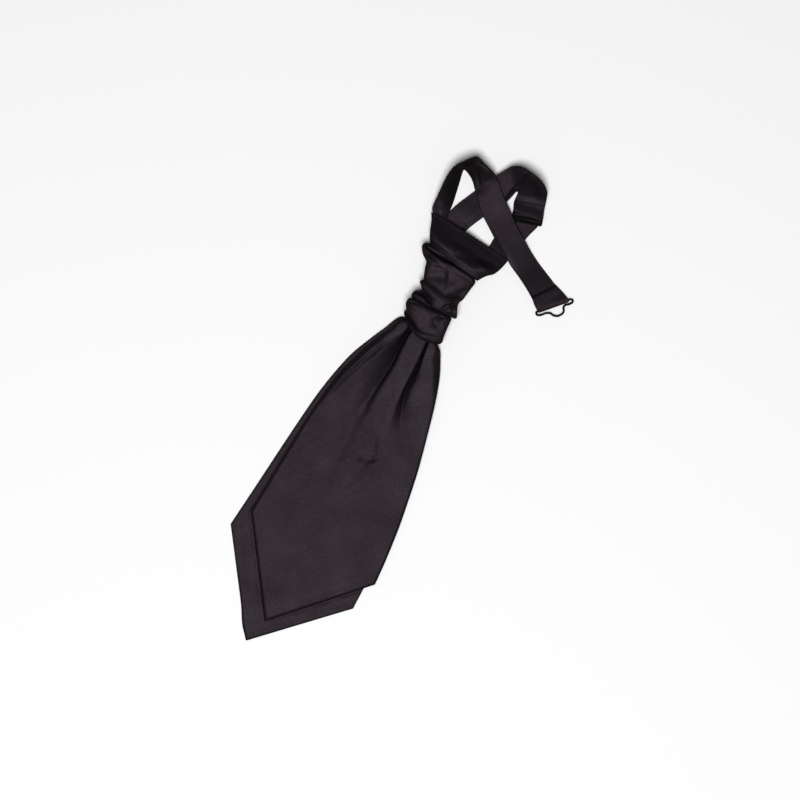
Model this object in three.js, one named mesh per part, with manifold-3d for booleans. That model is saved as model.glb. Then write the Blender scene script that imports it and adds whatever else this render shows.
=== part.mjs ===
import * as THREE from 'three';
import { mergeVertices } from 'three/addons/utils/BufferGeometryUtils.js';
import Module from 'manifold-3d';

const wasm = await Module();
wasm.setup();

// A pre-tied satin cravat lying face up. Millimetres, +Z up from the surface it lies on.
// The tails point to -Y, the neck straps to +Y, and the origin is under the middle of the knot.

// Driving dimensions
const tailCloth = 2.0; // lined and interlined satin of the two tails
const knotCloth = 1.9; // doubled satin of the knot, sleeve and collar band
const strapCloth = 1.5; // hook strap
const foldedStrap = 1.3; // each layer of the adjustable strap
const layerGap = 0.5; // between cloths that lie on each other
const wireThick = 1.8; // hook and eye
const wireHole = 2.5; // the hem's tunnel round the wire
const hemThick = 3.9; // folded strap end round a wire
const sliderLong = 31;
const sliderDeep = 10.5;
const sliderBar = 2.3;
const sliderThick = 1.4;
const sliderGap = 0.6; // over the single strap, which starts to turn there
const sliderCorner = 1.6;
const sliderPlace = { x: 28.3, y: 136.1, turn: 0.375 };
const neckRise = 2.5; // tails pass over the ring's lower wall
const neckClimb = { from: -62, to: -27 };
const sleeveRise = 2.5; // and then over the sleeve's
const sleeveClimb = { from: -14, to: -4 };
const pleatHeight = 10.8; // arch of the pleats where they leave the ring
const pleatFade = { from: -18, to: -150 };
const neckArch = 7.2; // the same inside the sleeve
const archFade = { from: -12, to: 2 };
const archFlat = 2.6; // power of the arch's bow: higher is flatter on top

const satin = { color: 0x2c272b, roughness: 0.42, metalness: 0 };
const blackWire = { color: 0x0c0c0e, roughness: 0.35, metalness: 0.8 };
const blackPlastic = { color: 0x101012, roughness: 0.4, metalness: 0 };

// A table: named columns, one row for each section, station or fold point
function table(columns, rows) {
  const names = columns.split(' ');
  return rows.map((row) => Object.fromEntries(names.map((name, i) => [name, row[i]])));
}

const mix = (a, b, t) => a + (b - a) * t;

function smooth(from, to, value) {
  const t = Math.min(1, Math.max(0, (value - from) / (to - from)));
  return t * t * (3 - 2 * t);
}

// Catmull-Rom value of every column at place t, counted in rows
function rowAt(rows, t) {
  const last = rows.length - 1;
  const i = Math.min(last - 1, Math.floor(t));
  const f = t - i;
  const four = [i - 1, i, i + 1, i + 2].map((k) => rows[Math.min(last, Math.max(0, k))]);
  const row = {};
  for (const name of Object.keys(rows[0])) {
    const [a, b, c, d] = four.map((r) => r[name]);
    row[name] = b + 0.5 * f * (c - a + f * (2 * a - 5 * b + 4 * c - d + f * (3 * (b - c) + d - a)));
  }
  return row;
}

function resample(rows, count) {
  return Array.from({ length: count }, (_, k) => rowAt(rows, ((rows.length - 1) * k) / (count - 1)));
}

// How deep the folds lie at x, y: each is a run of points with a depth and a half-width there,
// hollow like a bell curve across, and a negative depth stands up as a ridge
function foldDepth(folds, x, y) {
  let sum = 0;
  for (const run of folds) {
    let near = { gap: Infinity };
    for (let i = 0; i + 1 < run.length; i++) {
      const [p, q] = [run[i], run[i + 1]];
      const [dx, dy] = [q.x - p.x, q.y - p.y];
      const t = Math.min(1, Math.max(0, ((x - p.x) * dx + (y - p.y) * dy) / (dx * dx + dy * dy)));
      const gap = Math.hypot(x - p.x - dx * t, y - p.y - dy * t);
      if (gap < near.gap) near = { gap, depth: mix(p.depth, q.depth, t), wide: mix(p.wide, q.wide, t) };
    }
    sum += near.depth * Math.exp(-((near.gap / near.wide) ** 2));
  }
  return sum;
}

// Closed mesh from a list of quads and the points that they index
function closedMesh(points, quads) {
  const geometry = new THREE.BufferGeometry();
  geometry.setAttribute('position', new THREE.Float32BufferAttribute(points.flat(), 3));
  geometry.setIndex(quads.flatMap(([a, b, c, d]) => [a, b, c, a, c, d]));
  return geometry;
}

// Slab between two grids of points [row][column], its upper and its lower face
function slab(upper, lower) {
  const rows = upper.length;
  const cols = upper[0].length;
  const at = (side, r, c) => side * rows * cols + r * cols + c;
  const quads = [];
  for (let r = 0; r + 1 < rows; r++) {
    for (let c = 0; c + 1 < cols; c++) {
      quads.push([at(0, r, c), at(0, r, c + 1), at(0, r + 1, c + 1), at(0, r + 1, c)]);
      quads.push([at(1, r, c), at(1, r + 1, c), at(1, r + 1, c + 1), at(1, r, c + 1)]);
    }
    quads.push([at(0, r, 0), at(0, r + 1, 0), at(1, r + 1, 0), at(1, r, 0)]);
    quads.push([at(0, r + 1, cols - 1), at(0, r, cols - 1), at(1, r, cols - 1), at(1, r + 1, cols - 1)]);
  }
  for (let c = 0; c + 1 < cols; c++) {
    quads.push([at(0, 0, c + 1), at(0, 0, c), at(1, 0, c), at(1, 0, c + 1)]);
    quads.push([at(0, rows - 1, c), at(0, rows - 1, c + 1), at(1, rows - 1, c + 1), at(1, rows - 1, c)]);
  }
  return outward(closedMesh([...upper.flat(), ...lower.flat()], quads));
}

// Hollow tube between an outer and an inner grid of rings [row][angle], open at both ends
function tube(outer, inner) {
  const rows = outer.length;
  const around = outer[0].length;
  const at = (side, r, k) => side * rows * around + r * around + (k % around);
  const quads = [];
  for (let k = 0; k < around; k++) {
    for (let r = 0; r + 1 < rows; r++) {
      quads.push([at(0, r, k), at(0, r, k + 1), at(0, r + 1, k + 1), at(0, r + 1, k)]);
      quads.push([at(1, r, k), at(1, r + 1, k), at(1, r + 1, k + 1), at(1, r, k + 1)]);
    }
    quads.push([at(0, 0, k + 1), at(0, 0, k), at(1, 0, k), at(1, 0, k + 1)]);
    quads.push([at(0, rows - 1, k), at(0, rows - 1, k + 1), at(1, rows - 1, k + 1), at(1, rows - 1, k)]);
  }
  return outward(closedMesh([...outer.flat(), ...inner.flat()], quads));
}

// The same mesh with its faces turned out, told from the sign of its volume
function outward(geometry) {
  const p = geometry.attributes.position;
  const index = geometry.index.array;
  const [a, b, c] = [new THREE.Vector3(), new THREE.Vector3(), new THREE.Vector3()];
  let volume = 0;
  for (let i = 0; i < index.length; i += 3) {
    a.fromBufferAttribute(p, index[i]);
    b.fromBufferAttribute(p, index[i + 1]);
    c.fromBufferAttribute(p, index[i + 2]);
    volume += a.dot(b.cross(c));
  }
  if (volume < 0) {
    for (let i = 0; i < index.length; i += 3) [index[i + 1], index[i + 2]] = [index[i + 2], index[i + 1]];
  }
  return geometry;
}

// Joining and cutting

const weldWithin = 1e-4; // points nearer than this are one point

function toSolid(geometry) {
  const bare = geometry.clone();
  bare.deleteAttribute('normal');
  bare.deleteAttribute('uv');
  const merged = mergeVertices(bare, weldWithin);
  const vertProperties = new Float32Array(merged.attributes.position.array);
  const triVerts = new Uint32Array(merged.index.array);
  return new wasm.Manifold(new wasm.Mesh({ numProp: 3, vertProperties, triVerts }));
}

function fromSolid(solid) {
  const { vertProperties, triVerts } = solid.getMesh();
  const geometry = new THREE.BufferGeometry();
  geometry.setAttribute('position', new THREE.Float32BufferAttribute(vertProperties, 3));
  geometry.setIndex([...triVerts]);
  return geometry;
}

function piece(name, geometry, finish) {
  geometry.computeVertexNormals();
  const mesh = new THREE.Mesh(geometry, new THREE.MeshStandardMaterial(finish));
  mesh.name = name;
  return mesh;
}

// Tails: rows of three points, left edge, middle and right edge, from the neck to the V tip

const frontRows = table('xl yl xm ym xr yr', [
  [-16, 32, -4, 32, 8, 32],
  [-17, 12, -3.5, 12, 9, 12],
  [-18.5, 0, -2.5, 0, 11, 0],
  [-18.8, -8, -1.5, -8, 14.8, -8],
  [-19.4, -12, -0.5, -13, 15.8, -14],
  [-24, -16, 0.4, -18, 22.2, -19],
  [-25.4, -22.5, 1, -23, 27, -23],
  [-26.8, -30, 2, -30, 31.6, -30],
  [-30.2, -39, 3, -39, 37.2, -39],
  [-34, -49, 4, -49, 42.3, -49],
  [-38, -61, 5, -61, 47.4, -61],
  [-41, -73, 6, -73, 52, -73],
  [-44.2, -86, 7, -86, 56.6, -86],
  [-47, -101, 8.4, -101, 61.6, -101],
  [-48.6, -118, 10, -118, 67.2, -118],
  [-48.9, -138, 12, -140, 73.4, -138],
  [-48.8, -164, 14.4, -172, 80.2, -164],
  [-48.2, -196, 17.5, -215, 87.6, -195],
  [-47.4, -228, 21, -274, 93.8, -228],
  [-46.4, -259, 24.8, -344.5, 97.6, -254],
]);

const backRows = table('xl yl xm ym xr yr', [
  [-15, 30, -4, 30, 7, 30],
  [-16, 12, -3.5, 12, 8, 12],
  [-18, 0, -3, 0, 10, 0],
  [-17.8, -7, -2, -8, 13, -8],
  [-18, -10.8, -1.5, -13, 15, -14],
  [-25.6, -15.2, -1, -18, 18, -19],
  [-29.4, -22.6, 0, -24, 21.5, -24],
  [-32.4, -32, 1, -32, 25, -32],
  [-39.3, -50, 3, -50, 34, -50],
  [-46.6, -72, 5, -71, 45, -71],
  [-51.1, -98, 8, -97, 55, -97],
  [-54, -130, 10, -130, 66, -130],
  [-55.2, -180, 14, -190, 78, -180],
  [-55.8, -232, 17, -270, 86.5, -226],
  [-56.5, -281, 19.4, -371, 92.3, -286],
]);

const frontFolds = [
  // wide valley left of the centre pleat, which fans out downwards
  table('x y depth wide', [
    [-12, 20, 2, 3],
    [-11, -8, 6, 3],
    [-11.5, -24, 8.2, 3.6],
    [-12.5, -42, 7.6, 5],
    [-13, -62, 5.6, 7],
    [-15, -85, 3, 8.5],
    [-18, -115, 0, 10],
  ]),
  // narrow black valley right of the centre pleat
  table('x y depth wide', [
    [6, 20, 2, 2],
    [10.5, -8, 6, 2],
    [11.6, -22, 8.4, 2],
    [15, -38, 8, 2.4],
    [18.6, -54, 6.6, 2.7],
    [21.4, -78, 4.2, 3.2],
    [26, -99, 2.4, 4.5],
    [40, -116, 0.9, 7],
    [62, -131, 0, 10],
  ]),
  // crest of the centre pleat beside that valley
  table('x y depth wide', [
    [5.5, -14, -1, 4],
    [9, -40, -1.8, 4.5],
    [13, -70, -1.6, 5],
    [17, -100, -0.6, 6],
    [20, -125, 0, 7],
  ]),
  // soft valley near the left edge
  table('x y depth wide', [
    [-19, -16, 1.6, 2.4],
    [-24, -54, 1.8, 3.4],
    [-31, -84, 1.2, 4],
    [-38, -116, 0, 5],
  ]),
  // dimple of the tacking stitch under the centre pleat
  table('x y depth wide', [
    [20, -153, 1.1, 4],
    [29, -149, 1.1, 4],
  ]),
];

// Across a tail the arch rises like a flat bow and dies away below the pleats
function archAt(u, y) {
  const inside = mix(pleatHeight, neckArch, smooth(archFade.from, archFade.to, y));
  const outside = pleatHeight * (1 - smooth(pleatFade.from, pleatFade.to, y));
  const high = y > archFade.from ? inside : outside;
  return high * (1 - Math.abs(2 * u - 1) ** archFlat);
}

function riseAt(y) {
  const overRing = neckRise * smooth(neckClimb.from, neckClimb.to, y);
  return overRing + sleeveRise * smooth(sleeveClimb.from, sleeveClimb.to, y);
}

// Column places across a tail, closer together where the pleats are
const frontColumns = [
  0, 0.035, 0.08, 0.13, 0.17, 0.21, 0.25, 0.29, 0.33, 0.375, 0.42, 0.465, 0.51, 0.555, 0.59, 0.625,
  0.65, 0.675, 0.7, 0.73, 0.765, 0.8, 0.845, 0.89, 0.935, 0.97, 1,
];
const backColumns = [0, 0.06, 0.15, 0.3, 0.5, 0.7, 0.85, 0.94, 1];
const frontSteps = 25;
const backSteps = 17;

function tail(rows, rowCount, columns, heightAt) {
  const grid = resample(rows, rowCount).map((row) =>
    columns.map((u) => {
      const t = u < 0.5 ? 2 * u : 2 * u - 1;
      const [left, middle, right] = [[row.xl, row.yl], [row.xm, row.ym], [row.xr, row.yr]];
      const [start, end] = u < 0.5 ? [left, middle] : [middle, right];
      const [x, y] = [mix(start[0], end[0], t), mix(start[1], end[1], t)];
      return [x, y, heightAt(x, y, u)];
    }),
  );
  return slab(
    grid.map((line) => line.map(([x, y, z]) => [x, y, z + tailCloth])),
    grid,
  );
}

function frontBlade() {
  const rest = tailCloth + layerGap;
  const heightAt = (x, y, u) => rest + riseAt(y) + Math.max(0, archAt(u, y) - foldDepth(frontFolds, x, y));
  return piece('front_blade', tail(frontRows, frontSteps, frontColumns, heightAt), satin);
}

function backBlade() {
  return piece('back_blade', tail(backRows, backSteps, backColumns, (x, y) => riseAt(y)), satin);
}

// Knot, sleeve and collar band: flattened tubes. Each section has its left end, the middle of its
// front and its right end; high is its height, and floorL and floorR lift its underside.

const wrapRows = table('xl yl ym xr yr high floorL floorR', [
  [-24.2, -10.2, -22.2, 22.8, -16, 21.6, 0, 0],
  [-25.2, -8.6, -20.6, 23.5, -14, 23, 0, 0],
  [-24.5, -6.2, -18, 22.7, -11.4, 22.4, 0, 0],
  [-25.8, -4.1, -15, 21.9, -8.6, 24.6, 0, 0],
  [-27.7, -1.8, -10, 21.1, -4.6, 26.4, 0, 0],
  [-28.6, 1.2, -3.5, 20.3, 0, 26.8, 0, 0],
  [-28.4, 4, 2.5, 19.6, 5, 25.8, 0, 0],
  [-28.2, 5.8, 6.4, 19, 8.8, 24.2, 0, 0],
  [-27.8, 6.6, 8, 18.6, 10.2, 22.6, 0, 0],
]);

const wrapFolds = [
  // groove above the rolled lower lip, deepest on the left
  table('x y depth wide', [
    [-23, -7.6, 2.4, 1.4],
    [-16.4, -12.6, 3.2, 1.7],
    [-9.3, -15.4, 2.8, 1.7],
    [-3, -18, 1.4, 1.6],
    [6, -18, 0, 1.6],
  ]),
  // crescent dimple on the right
  table('x y depth wide', [
    [8, -4, 1.6, 2],
    [4.6, 0.4, 2, 1.8],
    [7.9, 5, 2.6, 1.8],
    [15, 8.6, 1.6, 2],
  ]),
];

const sleeveRows = table('xl yl ym xr yr high floorL floorR', [
  [-24.4, 1, 2, 15.2, 4, 17.4, 2.4, 2.4],
  [-25, 5.8, 7.9, 15.4, 10.2, 17.6, 2.4, 2.4],
  [-28, 9.4, 10.6, 20, 12.4, 19.2, 2.4, 2.4],
  [-27.6, 13.6, 13, 22.4, 14.2, 22.2, 0.6, 0.6],
  [-22.4, 18.8, 16, 20.8, 17.6, 23.6, 0, 0],
  [-24.4, 21.6, 20, 18.4, 21.6, 25.2, 0, 0],
  [-28.2, 25, 23.4, 16.8, 25.2, 24.9, 0, 0],
  [-26.3, 28.2, 26.6, 16.4, 28.8, 22, 0, 0],
  [-28.4, 33, 30.6, 17.9, 32.8, 24.8, 0, 0],
  [-31.3, 39.4, 36.6, 18.2, 38.4, 26.4, 0, 0],
  [-33.8, 45.4, 44, 18.7, 46, 26.2, 0, 0],
  [-40.2, 49.4, 50, 19.2, 51, 24.4, 0, 0],
  [-45.4, 55.8, 54.4, 18.9, 54, 21.2, 0, 0],
  [-43.6, 61, 57, 17.4, 55.8, 14.8, 2.4, 2.4],
  [-36, 63, 60, 15.2, 59.2, 12.2, 3.6, 2.8],
  [-34.8, 65.4, 62.6, 13.6, 61.8, 10.2, 4.6, 3],
]);

const sleeveFolds = [
  // dark valley that cuts off the small lobe on the left
  table('x y depth wide', [
    [-27, 15.6, 2.6, 1.7],
    [-19, 17, 4.6, 2.1],
    [-13, 15.6, 5.2, 2.3],
    [-9, 12, 4, 2.2],
    [-5, 9, 1.2, 2],
  ]),
  // fan crease on the right of the second roll
  table('x y depth wide', [
    [6, 12, 1.2, 1.8],
    [8.4, 20, 3, 2],
    [15, 25.6, 2, 2],
  ]),
  // soft slanting hollow on the first roll
  table('x y depth wide', [
    [-22, 33, 1.4, 3],
    [-10, 37, 1.6, 4],
    [0, 41, 0.6, 4],
  ]),
  // deep end of the upper crease
  table('x y depth wide', [
    [-38, 57, 2, 2],
    [-28, 56.6, 4, 2.2],
    [-10, 57.6, 1.4, 2],
    [4, 58, 0, 2],
  ]),
];

const collarRows = table('xl yl ym xr yr high floorL floorR', [
  [-40.8, 63.4, 59, 20.4, 57.6, 19.4, 0, 0],
  [-42.4, 65.4, 61.2, 22.6, 61.8, 21.8, 0.6, 0],
  [-44.4, 68.4, 64.6, 25.6, 66.2, 21.6, 2, 0],
  [-46.8, 72.8, 69.8, 29.8, 70.6, 18.6, 3.8, 0],
  [-49, 77.4, 75.4, 32.2, 76, 15, 4.6, 0],
  [-51.4, 82.6, 81.4, 33.7, 82.4, 11.6, 4.7, 0],
  [-54.2, 86.8, 87.4, 34.4, 87.2, 9.2, 4.7, 0],
  [-55.8, 88.8, 90.4, 34.6, 89.6, 8.4, 4.7, 0],
]);

const collarFolds = [
  table('x y depth wide', [
    [-24, 61.4, 1.5, 2.6],
    [-9, 65.7, 1.8, 2.6],
    [2, 71, 0.6, 3],
  ]),
  table('x y depth wide', [
    [-24, 74, 0.5, 2.5],
    [0, 78, 1.3, 2.6],
    [22, 76.4, 0.8, 2.6],
  ]),
];

// Angles round a section: close together over the front, wide apart under the flat back
const frontAngles = 19;
const backAngles = 7;
const sectionAngles = [
  ...Array.from({ length: frontAngles }, (_, k) => (Math.PI * k) / frontAngles),
  ...Array.from({ length: backAngles }, (_, k) => Math.PI + (Math.PI * k) / backAngles),
];

const widestLevel = 0.35; // share of a section's height
const domePower = 0.85;
const underCorner = { steep: 1.6, power: 0.6 };
const floorTurn = { from: 0.42, to: -0.12 }; // where along a section its two floor heights meet
const foldEdge = 1.6; // folds fade out towards the sides of a section

// One point of a section, its wall moved in by inset. The front is a dome over the widest level,
// and the back is flat with round corners.
function sectionPoint(row, angle, inset, folds) {
  const [c, s] = [Math.cos(angle), Math.sin(angle)];
  const x = (row.xl + row.xr) / 2 + ((row.xr - row.xl) / 2 - inset) * c;
  const y = row.ym + ((row.yr - row.yl) / 2) * c + ((row.yl + row.yr) / 2 - row.ym) * c * c;
  const toLeft = smooth(floorTurn.from, floorTurn.to, c);
  const floor = Math.max(0, mix(row.floorR, row.floorL, toLeft)) + inset;
  const high = row.high - 2 * inset;
  const below = widestLevel * high;
  if (s < 0) {
    const drop = Math.min(1, underCorner.steep * (-s) ** underCorner.power);
    return [x, y, floor + below * (1 - drop)];
  }
  const dome = (high - below) * s ** domePower;
  return [x, y, floor + below + dome - Math.min(1, foldEdge * s) * foldDepth(folds, x, y)];
}

function flattenedTube(rows, rowCount, folds) {
  const sections = resample(rows, rowCount);
  const rings = (inset) =>
    sections.map((row) => sectionAngles.map((angle) => sectionPoint(row, angle, inset, folds)));
  return tube(rings(0), rings(knotCloth));
}

const wrapSteps = 13;
const sleeveSteps = 28;
const collarSteps = 11;

function knotWrap() {
  return piece('knot_wrap', flattenedTube(wrapRows, wrapSteps, wrapFolds), satin);
}

function ruchedSleeve() {
  return piece('ruched_sleeve', flattenedTube(sleeveRows, sleeveSteps, sleeveFolds), satin);
}

function collarBand() {
  return piece('collar_band', flattenedTube(collarRows, collarSteps, collarFolds), satin);
}

// Neck straps: each station has its inner, lower edge and its outer, upper edge. Where the strap
// turns it stands nearly on edge and leans outwards, so its inner face shows all the way.

const hookStations = table('xi yi zi xo yo zo', [
  [-35.6, 80.5, 7.3, -43.6, 80.5, 7.3],
  [-37.4, 88, 7.3, -47, 87.4, 7.3],
  [-39.6, 94, 7, -56.4, 92.8, 7.8],
  [-41, 101, 5, -59, 101.6, 12],
  [-42.6, 109, 2.4, -60.2, 110.6, 17],
  [-45.4, 119, 0.4, -61.8, 121, 20.6],
  [-48.6, 130.5, 0, -62.3, 131.6, 22.8],
  [-51.3, 139.6, 0, -60.4, 140.8, 24.4],
  [-51.9, 142.6, 0, -55.9, 148.6, 25],
  [-50.2, 143.4, 0, -51.2, 156.2, 22.8],
  [-46.6, 142.4, 0, -46.2, 160.4, 19.8],
  [-42, 140.4, 0.4, -37, 158.6, 19],
  [-36.8, 136.8, 2, -29.6, 157, 17],
  [-31.5, 131.8, 4, -22.6, 155.3, 14.3],
  [-25, 125.6, 4.6, -15.2, 151, 11],
  [-17.6, 119.4, 4.2, -7.8, 145, 7.6],
  [-8.6, 113, 3.8, 2.6, 138, 5.1],
  [0.4, 107.8, 3.8, 12, 132, 4.2],
  [10, 102.2, 3.9, 22.4, 124.6, 3.9],
  [20.8, 95.8, 4.6, 31.8, 119.4, 3.3],
  [31, 91.6, 4.9, 40.4, 115, 2.4],
  [41, 86.6, 2.8, 50.4, 109.8, 1.2],
  [52.6, 82.1, 0.8, 61.4, 105.2, 0.2],
  [64.5, 76.8, 0, 72.8, 101, 0],
  [74.6, 71.4, 0, 86.8, 96.1, 0],
  [81.4, 66.6, 0, 97.6, 93.4, 0],
  [88, 62.6, 0, 108.4, 89, 0],
]);

const eyeStations = table('xi yi zi xo yo zo', [
  [8.6, 78, 2.7, 25, 78, 2.7],
  [10.2, 87, 2.7, 25.6, 87, 2.7],
  [11.1, 93, 2.3, 32.6, 94, 2.3],
  [10.8, 101, 1.3, 35.6, 103, 1.3],
  [11.6, 111, 0.4, 37.4, 113, 0.4],
  [12.6, 121, 0, 38.9, 123.4, 0],
  [13, 130, 0, 40.3, 134, 0],
  [11.2, 136.4, 0, 40.2, 144, 0],
  [8, 142.8, 0, 37.6, 152.6, 1.8],
  [6.9, 148.4, 0, 34.4, 161.4, 5.6],
  [6.5, 151.6, 0, 30.2, 169, 9.6],
  [5.9, 153.2, 0, 20.6, 174.2, 13],
  [5.4, 153.4, 0, 8.6, 176, 15.8],
  [4.7, 152.6, 0, -4, 175.8, 16],
  [4.2, 150.4, 0, -12.4, 171.2, 13],
  [3.6, 146.4, 0, -17, 163.6, 9.6],
  [2.4, 140.6, 0, -21.2, 154.8, 6.4],
  [0.2, 134, 0, -25.3, 145, 3.4],
  [-3.6, 126, 0, -29.4, 134.6, 1.2],
  [-7.8, 117, 0, -33.8, 123, 0.2],
  [-11.6, 108, 0, -38, 111.6, 0],
  [-15, 98.6, 0, -41, 100, 0],
  [-17.4, 89.4, 0, -43.2, 89.4, 0],
  [-19, 80, 0, -44.2, 80, 0],
]);

// Grid of points on a strap's middle surface, and the face normals there
function strapSurface(stations, count, across) {
  const rows = resample(stations, count);
  const points = rows.map((row) =>
    Array.from({ length: across + 1 }, (_, k) => {
      const t = k / across;
      return new THREE.Vector3(mix(row.xi, row.xo, t), mix(row.yi, row.yo, t), mix(row.zi, row.zo, t));
    }),
  );
  const normals = points.map((line, r) =>
    line.map((_, c) => {
      const along = points[Math.min(count - 1, r + 1)][c].clone().sub(points[Math.max(0, r - 1)][c]);
      const over = line[across].clone().sub(line[0]);
      return along.cross(over).normalize();
    }),
  );
  return { points, normals };
}

// Strap of one thickness whose underside is lifted by rise along the face
function strap(stations, count, across, thick, rise) {
  const { points, normals } = strapSurface(stations, count, across);
  const up = normals[0][0].z > 0 ? 1 : -1;
  const face = (offset) =>
    points.map((line, r) =>
      line.map((point, c) => {
        const moved = point.clone().addScaledVector(normals[r][c], up * offset);
        return [moved.x, moved.y, Math.max(0, moved.z + thick / 2)];
      }),
    );
  return slab(face(rise + thick / 2), face(rise - thick / 2));
}

// Part of a station table, from and to being places counted in rows
function stretch(stations, from, to, count) {
  return Array.from({ length: count }, (_, k) => rowAt(stations, mix(from, to, k / (count - 1))));
}

// Round rod from one point to another, used for wires' tunnels
function rod(from, to, radius, sides) {
  const geometry = new THREE.CylinderGeometry(radius, radius, from.distanceTo(to), sides);
  const along = to.clone().sub(from).normalize();
  geometry.applyQuaternion(new THREE.Quaternion().setFromUnitVectors(new THREE.Vector3(0, 1, 0), along));
  geometry.translate(...from.clone().add(to).multiplyScalar(0.5).toArray());
  return geometry;
}

const strapAcross = 3; // cells across a strap
const hemCount = 4;
const tunnelSides = 10;
const tunnelOver = 6; // how far the tunnel's cut runs past the bar's ends

// A strap of count sections, its end folded into a hem round a wire's bar. The hem begins at the
// place hemFrom, counted in rows of the table.
function hemmedStrap(stations, count, hemFrom, bar, thick) {
  const hemRows = stretch(stations, hemFrom, stations.length - 1, hemCount);
  const hem = toSolid(strap(hemRows, hemCount, strapAcross, hemThick, 0));
  const tunnel = toSolid(rod(...longer(bar, tunnelOver), wireHole / 2, tunnelSides));
  const body = toSolid(strap(stations, count, strapAcross, thick, 0));
  return fromSolid(body.add(hem).subtract(tunnel));
}

// Bars of the hook and the eye, which lie in their straps' hems
const wireLevel = hemThick / 2;
const hookBar = {
  from: new THREE.Vector3(86.6, 63.6, wireLevel),
  to: new THREE.Vector3(106, 88.9, wireLevel),
};
const eyeBar = {
  from: new THREE.Vector3(-18.6, 82, wireLevel),
  to: new THREE.Vector3(-44.8, 82, wireLevel),
};

function longer(bar, by) {
  const along = bar.to.clone().sub(bar.from).normalize().multiplyScalar(by);
  return [bar.from.clone().sub(along), bar.to.clone().add(along)];
}

const hookSteps = 44;
const hookHemFrom = 24.3;
const eyeSteps = 40;
const eyeHemFrom = 22.4;

function hookStrap() {
  return piece('hook_strap', hemmedStrap(hookStations, hookSteps, hookHemFrom, hookBar, strapCloth), satin);
}

function eyeStrap() {
  return piece('eye_strap', hemmedStrap(eyeStations, eyeSteps, eyeHemFrom, eyeBar, foldedStrap), satin);
}

// The folded-back layer lies on the eye strap from the slider to the eye's hem
const adjusterFrom = 6.75;
const adjusterTo = 22.2;
const adjusterSteps = 32;
const adjusterAcross = 2;
const adjusterInset = 0.15; // share of the width by which its inner edge falls short
const insetGrows = { from: 2, to: 12 }; // sections over which it does
const comesDown = { from: 1.5, to: 5 }; // sections over which it drops from the slider

function adjusterStrap() {
  const rows = stretch(eyeStations, adjusterFrom, adjusterTo, adjusterSteps).map((row, k) => {
    const short = adjusterInset * smooth(insetGrows.from, insetGrows.to, k);
    const overSlider = (sliderThick + sliderGap) * (1 - smooth(comesDown.from, comesDown.to, k));
    return {
      xi: mix(row.xi, row.xo, short),
      yi: mix(row.yi, row.yo, short),
      zi: mix(row.zi, row.zo, short) + overSlider,
      xo: row.xo,
      yo: row.yo,
      zo: row.zo + overSlider,
    };
  });
  const lift = foldedStrap + layerGap;
  return piece('adjuster_strap', strap(rows, adjusterSteps, adjusterAcross, foldedStrap, lift), satin);
}

// Slider: a plate with two slots, on the single strap and under the folded-back layer

const cornerSegments = 3;

function roundedBox(w, h, r) {
  const shape = new THREE.Shape();
  shape.moveTo(-w / 2 + r, -h / 2);
  shape.absarc(w / 2 - r, -h / 2 + r, r, -Math.PI / 2, 0);
  shape.absarc(w / 2 - r, h / 2 - r, r, 0, Math.PI / 2);
  shape.absarc(-w / 2 + r, h / 2 - r, r, Math.PI / 2, Math.PI);
  shape.absarc(-w / 2 + r, -h / 2 + r, r, Math.PI, Math.PI * 1.5);
  return shape;
}

function strapSlider() {
  const plate = roundedBox(sliderLong, sliderDeep, sliderCorner);
  const slotDeep = (sliderDeep - 3 * sliderBar) / 2;
  for (const side of [-1, 1]) {
    const slot = new THREE.Path();
    const [x, y0] = [sliderLong / 2 - sliderBar, side * (sliderBar + slotDeep) * 0.5 - slotDeep / 2];
    slot.moveTo(-x, y0);
    slot.lineTo(-x, y0 + slotDeep);
    slot.lineTo(x, y0 + slotDeep);
    slot.lineTo(x, y0);
    slot.closePath();
    plate.holes.push(slot);
  }
  const geometry = new THREE.ExtrudeGeometry(plate, {
    depth: sliderThick,
    curveSegments: cornerSegments,
    bevelEnabled: false,
  });
  const mesh = piece('strap_slider', geometry, blackPlastic);
  mesh.position.set(sliderPlace.x, sliderPlace.y, foldedStrap + sliderGap);
  mesh.rotation.z = sliderPlace.turn;
  return mesh;
}

// Wires: one bent length whose two ends meet in the middle of the bar

const stepsPerBend = 2.2;
const arcSegments = 3; // for each half of the wire's round section

function wire(name, places) {
  const points = places.map(([x, y]) => new THREE.Vector3(x, y, wireLevel));
  const curve = new THREE.CatmullRomCurve3(points, false, 'centripetal');
  const section = new THREE.Shape();
  section.absarc(0, 0, wireThick / 2, 0, 2 * Math.PI);
  const geometry = new THREE.ExtrudeGeometry(section, {
    steps: Math.round(stepsPerBend * places.length),
    curveSegments: arcSegments,
    extrudePath: curve,
    bevelEnabled: false,
  });
  return piece(name, geometry, blackWire);
}

// From the bar's middle out to the lower corner, round the catch and back to the bar
const hookBends = [
  [96.3, 76.2],
  [91.6, 70.1],
  [87.4, 64.6],
  [86.4, 61.5],
  [88.6, 60.2],
  [91.6, 62],
  [94.8, 66.6],
  [98.6, 69],
  [102.8, 68.6],
  [106.8, 70.6],
  [109.2, 75],
  [108.8, 78.4],
  [106.6, 80.4],
  [106.6, 83.6],
  [109.4, 86.4],
  [111.4, 89.8],
  [110.4, 92],
  [107.8, 91.3],
  [105.4, 88.1],
  [101.6, 83.1],
  [97.1, 77.2],
];

const eyeBends = [
  [-31.3, 82],
  [-24, 82],
  [-17.6, 82],
  [-16.4, 80.8],
  [-16.4, 75],
  [-17.6, 73.4],
  [-24, 73],
  [-31.7, 73],
  [-39.4, 73],
  [-45.8, 73.4],
  [-47, 75],
  [-47, 80.8],
  [-45.8, 82],
  [-39.4, 82],
  [-32.3, 82],
];

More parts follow.
